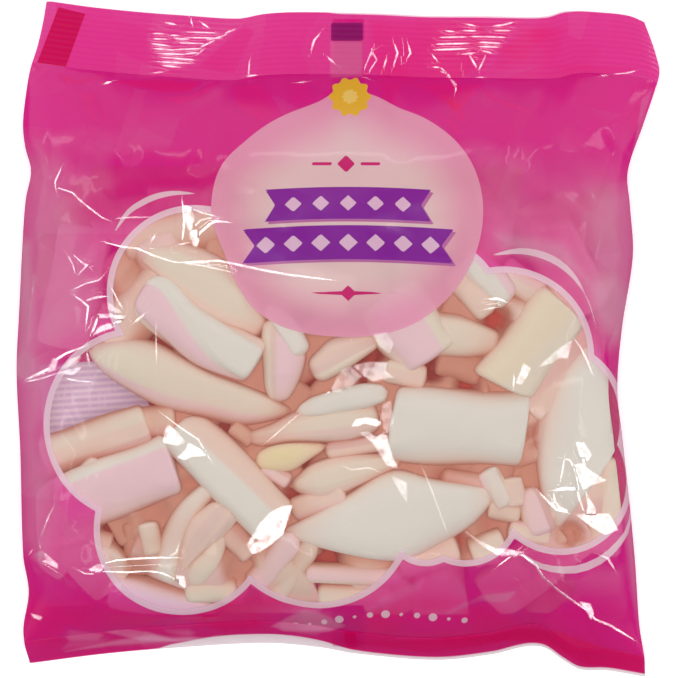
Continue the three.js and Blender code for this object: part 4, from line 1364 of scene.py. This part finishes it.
def back_seal_strip():
    """The long seal under the back."""
    ys = np.linspace(*BACK_STRIP_ENDS, 160)
    xs = BACK_SEAL_X + BACK_SEAL_WIDTH * np.linspace(-0.5, 0.5, 7)
    x, y = np.meshgrid(xs, ys)
    place = Place(x.ravel(), y.ravel())
    z = np.maximum(place.back() - 0.45, 0.05)
    return add_mesh("seal_back", np.c_[place.x, place.y, z], [grid_faces(len(ys), len(xs), False)])


front_film = film_sheet("film_front", bottom_weld, top_weld, 300, 318, front_height)
back_film = film_sheet("film_back", bottom_weld, top_weld, 110, 120, back_height, False, label_values)
top_seal = film_sheet("seal_top", top_weld, top_edge, 96, 320, top_seal_height, True, top_edge_values)
bottom_seal = film_sheet(
    "seal_bottom", bottom_edge, bottom_weld, 40, 320, bottom_seal_height, True, bottom_edge_values
)
back_strip = back_seal_strip()

# ---------------------------------------------------------------- materials

WHITE = (1, 1, 1, 1)
# The pale ink below is painted sheen on the film; the deep inks are for film lying double and for painted
# shade in its folds.
SHEEN_INK = (0.8, 0.32, 0.52, 1)
INK = (0.86, 0.008, 0.36, 1)
DOUBLED_AND_SHADED_INK = (0.84, 0.002, 0.145, 1)
SEAL_INK = (0.78, 0.012, 0.27, 1)
FLAP_INK = (0.64, 0.0005, 0.1, 1)
BOTTOM_INK = (0.66, 0.019, 0.21, 1)
BOTTOM_DOUBLED_AND_SHADED_INK = (0.7, 0.002, 0.125, 1)
CLEAR_FILM = (0.92, 0.9, 0.89, 1)
THROUGH_CLEAR, THROUGH_INK = (0.98, 0.97, 0.97, 1), (1.0, 0.72, 0.95, 1)
OUTLINE_PALE = rgba((250, 216, 234))
BADGE_PALE, BADGE_PINK = rgba((250, 222, 222)), rgba((246, 172, 202))
PURPLE, RIBBON_SHADOW = rgba((142, 44, 168)), rgba((206, 118, 186))
DIAMOND, RULE = rgba((240, 200, 228)), rgba((214, 40, 122))
GOLD, PALE_GOLD = rgba((240, 190, 50)), rgba((248, 214, 110))
MARK_INK = rgba((150, 20, 110))
BARE_TOP, BARE_BOTTOM = rgba((244, 200, 222)), rgba((222, 208, 216))
LABEL_PALE, LABEL_STRIPE = rgba((242, 226, 240)), rgba((196, 168, 212))
# How much light a shining crease throws back.
GLINT_SHINE = 0.36


class Nodes:
    """Short calls for building the node tree of a material or a world."""

    MIX_SOCKETS = {"FLOAT": (2, 3, 0), "VECTOR": (4, 5, 1), "RGBA": (6, 7, 2)}

    def __init__(self, owner):
        owner.use_nodes = True
        self.owner, self.tree = owner, owner.node_tree
        self.tree.nodes.clear()

    def add(self, kind, inputs=None, **settings):
        made = self.tree.nodes.new(kind)
        for key, value in settings.items():
            setattr(made, key, value)
        for key, value in (inputs or {}).items():
            self.plug(made.inputs[key], value)
        return made

    def plug(self, socket, value):
        if isinstance(value, bpy.types.NodeSocket):
            self.tree.links.new(value, socket)
        elif isinstance(value, bpy.types.Node):
            self.tree.links.new(value.outputs[0], socket)
        else:
            socket.default_value = value

    def value(self, name, output="Fac"):
        return self.add("ShaderNodeAttribute", attribute_name=name).outputs[output]

    def math(self, operation, *values, clamp=False):
        made = self.add("ShaderNodeMath", dict(enumerate(values)), operation=operation, use_clamp=clamp)
        return made.outputs[0]

    def ramp(self, value, low, high, bottom, top):
        inputs = {"Value": value, "From Min": low, "From Max": high, "To Min": bottom, "To Max": top}
        return self.add("ShaderNodeMapRange", inputs, interpolation_type="SMOOTHSTEP").outputs[0]

    def inside(self, distance, offset=0.0, soft=0.14):
        """1 where a distance is below the offset, else 0, with a fine soft edge."""
        return self.ramp(distance, offset - soft, offset + soft, 1.0, 0.0)

    def mixed(self, kind, factor, a, b):
        first, second, result = self.MIX_SOCKETS[kind]
        return self.add("ShaderNodeMix", {0: factor, first: a, second: b}, data_type=kind).outputs[result]

    def mix(self, factor, a, b):
        return self.mixed("RGBA", factor, a, b)

    def blend(self, factor, a, b):
        return self.mixed("FLOAT", factor, a, b)

    def mix_shaders(self, factor, a, b):
        return self.add("ShaderNodeMixShader", {0: factor, 1: a, 2: b})

    def noise(self, scale, detail=3.0, roughness=0.5, stretch=None):
        where = self.add("ShaderNodeTexCoord").outputs["Object"]
        if stretch:
            where = self.add("ShaderNodeMapping", {"Vector": where, "Scale": stretch})
        inputs = {"Vector": where, "Scale": scale, "Detail": detail, "Roughness": roughness}
        return self.add("ShaderNodeTexNoise", inputs).outputs["Fac"]

    def finish(self, shader, output="ShaderNodeOutputMaterial"):
        self.add(output, {"Surface": shader})
        return self.owner


def marshmallow_material(name, soft):
    """Matt and powdery, with fine pores, and a painted glow: emission that stands in for light passed through
    the sweets.
    """
    n = Nodes(bpy.data.materials.new(name))
    tint = n.value("tint", "Color")
    body = n.mix(n.math("MULTIPLY", n.noise(90, 2), 0.1), tint, rgba((226, 214, 200)))
    height = n.math("ADD", n.math("MULTIPLY", n.noise(1500, 3, 0.6), 0.2), n.noise(160, 2))
    bump = n.add("ShaderNodeBump", {"Strength": 0.25, "Distance": 0.0012, "Height": height})
    inputs = {
        "Base Color": body,
        "Roughness": 0.75,
        "Subsurface Weight": soft,
        "Subsurface Radius": (1.0, 0.8, 0.7),
        "Subsurface Scale": 0.003,
        "Specular IOR Level": 0.2,
        "Emission Color": tint,
        "Emission Strength": n.value("painted_glow"),
        "Normal": bump,
    }
    return n.finish(n.add("ShaderNodeBsdfPrincipled", inputs))


def with_shade_and_sheen(n, colour, cover, deep=DOUBLED_AND_SHADED_INK):
    """The ink deeper where the film lies double and where shade is painted in its folds, and paler where
    sheen is painted.
    """
    shade_and_sheen = n.value("shade_and_sheen")
    deeper, paler = n.math("MULTIPLY", shade_and_sheen, -1.0, clamp=True), n.math("MULTIPLY", shade_and_sheen, 1.0, clamp=True)
    colour = n.mix(paler, n.mix(deeper, colour, deep), SHEEN_INK)
    return colour, n.blend(n.math("MAXIMUM", deeper, n.math("MULTIPLY", paler, 0.5)), cover, 0.99)


def printed_front(n, colour, cover):
    """The front's print: cloud window, outline, badge, ornament, and small trims."""
    colour, cover = with_shade_and_sheen(n, colour, cover)
    window, badge, rosette = n.value("window"), n.value("badge"), n.value("rosette")
    clear, in_badge = n.inside(window), n.inside(badge)
    pale = n.math("MAXIMUM", n.inside(window, OUTLINE), n.inside(n.value("trim")))
    band, tail, disc = n.inside(n.value("band")), n.inside(n.value("tail")), n.inside(rosette)
    lines, rule = n.inside(n.value("pale"), soft=0.1), n.inside(n.value("rule"), soft=0.1)
    colour = n.mix(pale, colour, OUTLINE_PALE)
    colour = n.mix(clear, colour, CLEAR_FILM)
    colour = n.mix(in_badge, colour, n.mix(n.ramp(badge, -24, -3, 0, 1), BADGE_PALE, BADGE_PINK))
    colour = n.mix(n.math("SUBTRACT", tail, band, clamp=True), colour, RIBBON_SHADOW)
    colour = n.mix(band, colour, PURPLE)
    colour = n.mix(disc, colour, GOLD)
    colour = n.mix(n.inside(rosette, -4.6, soft=0.3), colour, PALE_GOLD)
    colour = n.mix(n.math("MULTIPLY", lines, band), colour, DIAMOND)
    colour = n.mix(rule, colour, RULE)
    marks = n.math("MAXIMUM", n.math("MAXIMUM", band, disc), rule)
    for where, covered in ((pale, 0.78), (clear, 0.05), (in_badge, 0.8), (marks, 0.93)):
        cover = n.blend(where, cover, covered)
    plain = n.math("MAXIMUM", n.math("MAXIMUM", pale, clear), in_badge)
    return colour, cover, n.math("SUBTRACT", 1.0, plain, clamp=True)


def printed_top(n, colour, cover):
    """The top seal: a folded corner, one plain dark block, and a strip without ink."""
    colour, cover = with_shade_and_sheen(n, colour, cover)
    flap, mark = n.inside(n.value("flap")), n.inside(n.value("mark"))
    bare = n.inside(n.value("bare"), soft=0.2)
    colour = n.mix(mark, n.mix(flap, colour, FLAP_INK), MARK_INK)
    cover = n.blend(n.math("MAXIMUM", flap, mark), cover, 0.99)
    return n.mix(bare, colour, BARE_TOP), n.blend(bare, cover, 0.6), n.math("SUBTRACT", 1.0, bare)


def printed_bottom(n, colour, cover):
    """The bottom seal: the strip along its edge has no ink."""
    colour, cover = with_shade_and_sheen(n, colour, cover, BOTTOM_DOUBLED_AND_SHADED_INK)
    bare = n.inside(n.value("bare"), soft=0.3)
    return n.mix(bare, colour, BARE_BOTTOM), n.blend(bare, cover, 0.6), n.math("SUBTRACT", 1.0, bare)


def printed_back(n, colour, cover):
    """The back: a pale panel with fine plain stripes."""
    label = n.inside(n.value("label"))
    stripe = n.inside(n.math("PINGPONG", n.value("row"), 1.2), 0.62, soft=0.25)
    worn = n.ramp(n.noise(900, 1, stretch=(1.0, 0.12, 0.12)), 0.3, 0.5, 0.4, 1.0)
    panel = n.mix(n.math("MULTIPLY", n.math("MULTIPLY", stripe, worn), 0.5), LABEL_PALE, LABEL_STRIPE)
    return n.mix(label, colour, panel), n.blend(label, cover, 0.97), n.math("SUBTRACT", 1.0, label)


def with_glints(n, facing, shine, bump):
    """Shine and normal of the film where its creases and facets catch a lamp."""
    crease = n.math("SUBTRACT", n.math("ABSOLUTE", n.value("side")), n.value("half"))
    on_crease, on_facet = n.inside(crease, 0.1, soft=0.18), n.inside(n.value("facet"), 0.1, soft=0.35)
    seen_square = n.ramp(facing, 0.3, 0.5, 1.0, 0.0)
    shining = n.math("MULTIPLY", n.math("MAXIMUM", on_crease, on_facet), seen_square)
    uneven_shine = n.ramp(n.noise(330, 2), 0.32, 0.58, 0.45, 1.0)
    bright = n.math("MULTIPLY", n.math("MULTIPLY", n.value("sparkle"), GLINT_SHINE), uneven_shine)
    settings = dict(vector_type="NORMAL", convert_from="OBJECT")
    turned = n.add("ShaderNodeVectorTransform", {"Vector": n.value("mirror", "Vector")}, **settings)
    leaning = n.mixed("VECTOR", n.math("GREATER_THAN", shining, 0.002), bump, turned)
    return n.blend(shining, shine, bright), leaning


def film_material(name, cover, printing=None, ink=INK, gloss=0.035, glints=True):
    """Thin glossy film: ink that light shines through, over clear film, with the glints on top."""
    n = Nodes(bpy.data.materials.new(name))
    colour, inked = ink, 1.0
    if printing:
        colour, cover, inked = printing(n, colour, cover)
    clear = n.add("ShaderNodeBsdfTransparent", {"Color": n.mix(inked, THROUGH_CLEAR, THROUGH_INK)})
    lit = n.add("ShaderNodeBsdfDiffuse", {"Color": colour})
    lit_through = n.add("ShaderNodeBsdfTranslucent", {"Color": colour})
    sheet = n.mix_shaders(cover, clear, n.mix_shaders(0.22, lit, lit_through))
    bump = n.add("ShaderNodeBump", {"Strength": 0.1, "Distance": 0.0004, "Height": n.noise(200)})
    facing = n.add("ShaderNodeLayerWeight", {"Blend": 0.5}).outputs["Facing"]
    shine = n.math("MULTIPLY_ADD", n.math("POWER", facing, 4.0), 8 * gloss, gloss, clamp=True)
    normal = bump
    if glints:
        shine, normal = with_glints(n, facing, shine, bump)
    coat = n.add("ShaderNodeBsdfGlossy", {"Color": WHITE, "Roughness": 0.08, "Normal": normal})
    return n.finish(n.mix_shaders(shine, sheet, coat))


sweet_material = marshmallow_material("marshmallow", 0.12)
deep_material = marshmallow_material("marshmallow_deep", 0.0)

for piece, material in (
    (sweets_top, sweet_material),
    (sweets_veiled, deep_material),
    (sweets_middle, deep_material),
    (sweets_low, deep_material),
    (front_film, film_material("printed_film", 0.57, printed_front)),
    (back_film, film_material("back_film", 0.95, printed_back, SEAL_INK, glints=False)),
    (back_strip, film_material("back_seal_film", 0.95, ink=SEAL_INK, glints=False)),
    (top_seal, film_material("top_seal_film", 0.93, printed_top, SEAL_INK)),
    (bottom_seal, film_material("bottom_seal_film", 0.993, printed_bottom, BOTTOM_INK, gloss=0.004)),
):
    piece.data.materials.append(material)
    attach(piece, "root")
    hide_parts(NODE)

# ---------------------------------------------------------------- table, lights and camera

TABLE_HALF = 3.0


def table():
    """A pale lit table: a light panel, so that the floor stays white under the bag."""
    n = Nodes(bpy.data.materials.new("table"))
    inputs = {
        "Base Color": n.mix(n.noise(40), (0.92, 0.92, 0.92, 1), (0.95, 0.95, 0.95, 1)),
        "Roughness": 0.8,
        "Specular IOR Level": 0.1,
        "Emission Color": WHITE,
        "Emission Strength": 0.4,
    }
    corners = [(TABLE_HALF * x, TABLE_HALF * y, 0) for x, y in ((-1, -1), (1, -1), (1, 1), (-1, 1))]
    mesh = bpy.data.meshes.new("table")
    mesh.from_pydata(corners, [], [(0, 1, 2, 3)])
    mesh.materials.append(n.finish(n.add("ShaderNodeBsdfPrincipled", inputs)))
    piece = bpy.data.objects.new("table", mesh)
    piece.visible_glossy = False
    bpy.context.collection.objects.link(piece)


def lamp(name, place, width, height, watts, in_gloss=True, in_diffuse=True):
    light = bpy.data.lights.new(name, "AREA")
    light.shape, light.size, light.size_y, light.energy = "RECTANGLE", width, height, watts
    piece = bpy.data.objects.new(name, light)
    piece.location = place
    piece.rotation_euler = Vector(place).to_track_quat("Z", "Y").to_euler()
    piece.visible_glossy, piece.visible_diffuse = in_gloss, in_diffuse
    bpy.context.collection.objects.link(piece)


def lights():
    lamp("overhead", (0, 0.001, 1.9), 0.5, 0.5, 20, in_gloss=False)
    for k, place in enumerate(LAMP_PLACES):
        lamp(f"glint_{k}", tuple(place), LAMP_LENGTH, LAMP_WIDTH, LAMP_WATTS, in_diffuse=False)


def studio():
    """A tent of light: dim overhead, brighter round the sides, brightest behind the top seal."""
    world = bpy.data.worlds.new("studio")
    bpy.context.scene.world = world
    n = Nodes(world)
    generated = n.add("ShaderNodeTexCoord").outputs["Generated"]
    x, y, z = n.add("ShaderNodeSeparateXYZ", {"Vector": generated}).outputs
    side = n.math("MULTIPLY", n.math("POWER", n.math("ABSOLUTE", x), 2.0), 0.5)
    bright = n.math("ADD", 0.45, n.math("ADD", side, n.math("MULTIPLY", y, 0.35)))
    strength = n.blend(n.ramp(z, 0.55, 0.9, 0.0, 1.0), bright, 0.05)
    strength = n.blend(n.ramp(z, -0.05, 0.2, 1.0, 0.0), strength, 0.12)
    n.finish(n.add("ShaderNodeBackground", {"Color": WHITE, "Strength": strength}), "ShaderNodeOutputWorld")


PICTURE_WIDTH = 678


def view():
    """Straight down, with the bag filling the square picture."""
    data = bpy.data.cameras.new("camera")
    data.sensor_width = 36
    data.lens = data.sensor_width * (CAMERA_HEIGHT - CREST_HEIGHT) / (PICTURE_WIDTH * GRID * MM)
    camera = bpy.data.objects.new("camera", data)
    camera.location = CAMERA_PLACE
    bpy.context.collection.objects.link(camera)
    bpy.context.scene.camera = camera
    bpy.context.scene.view_settings.view_transform = "Standard"


table()
lights()
studio()
view()
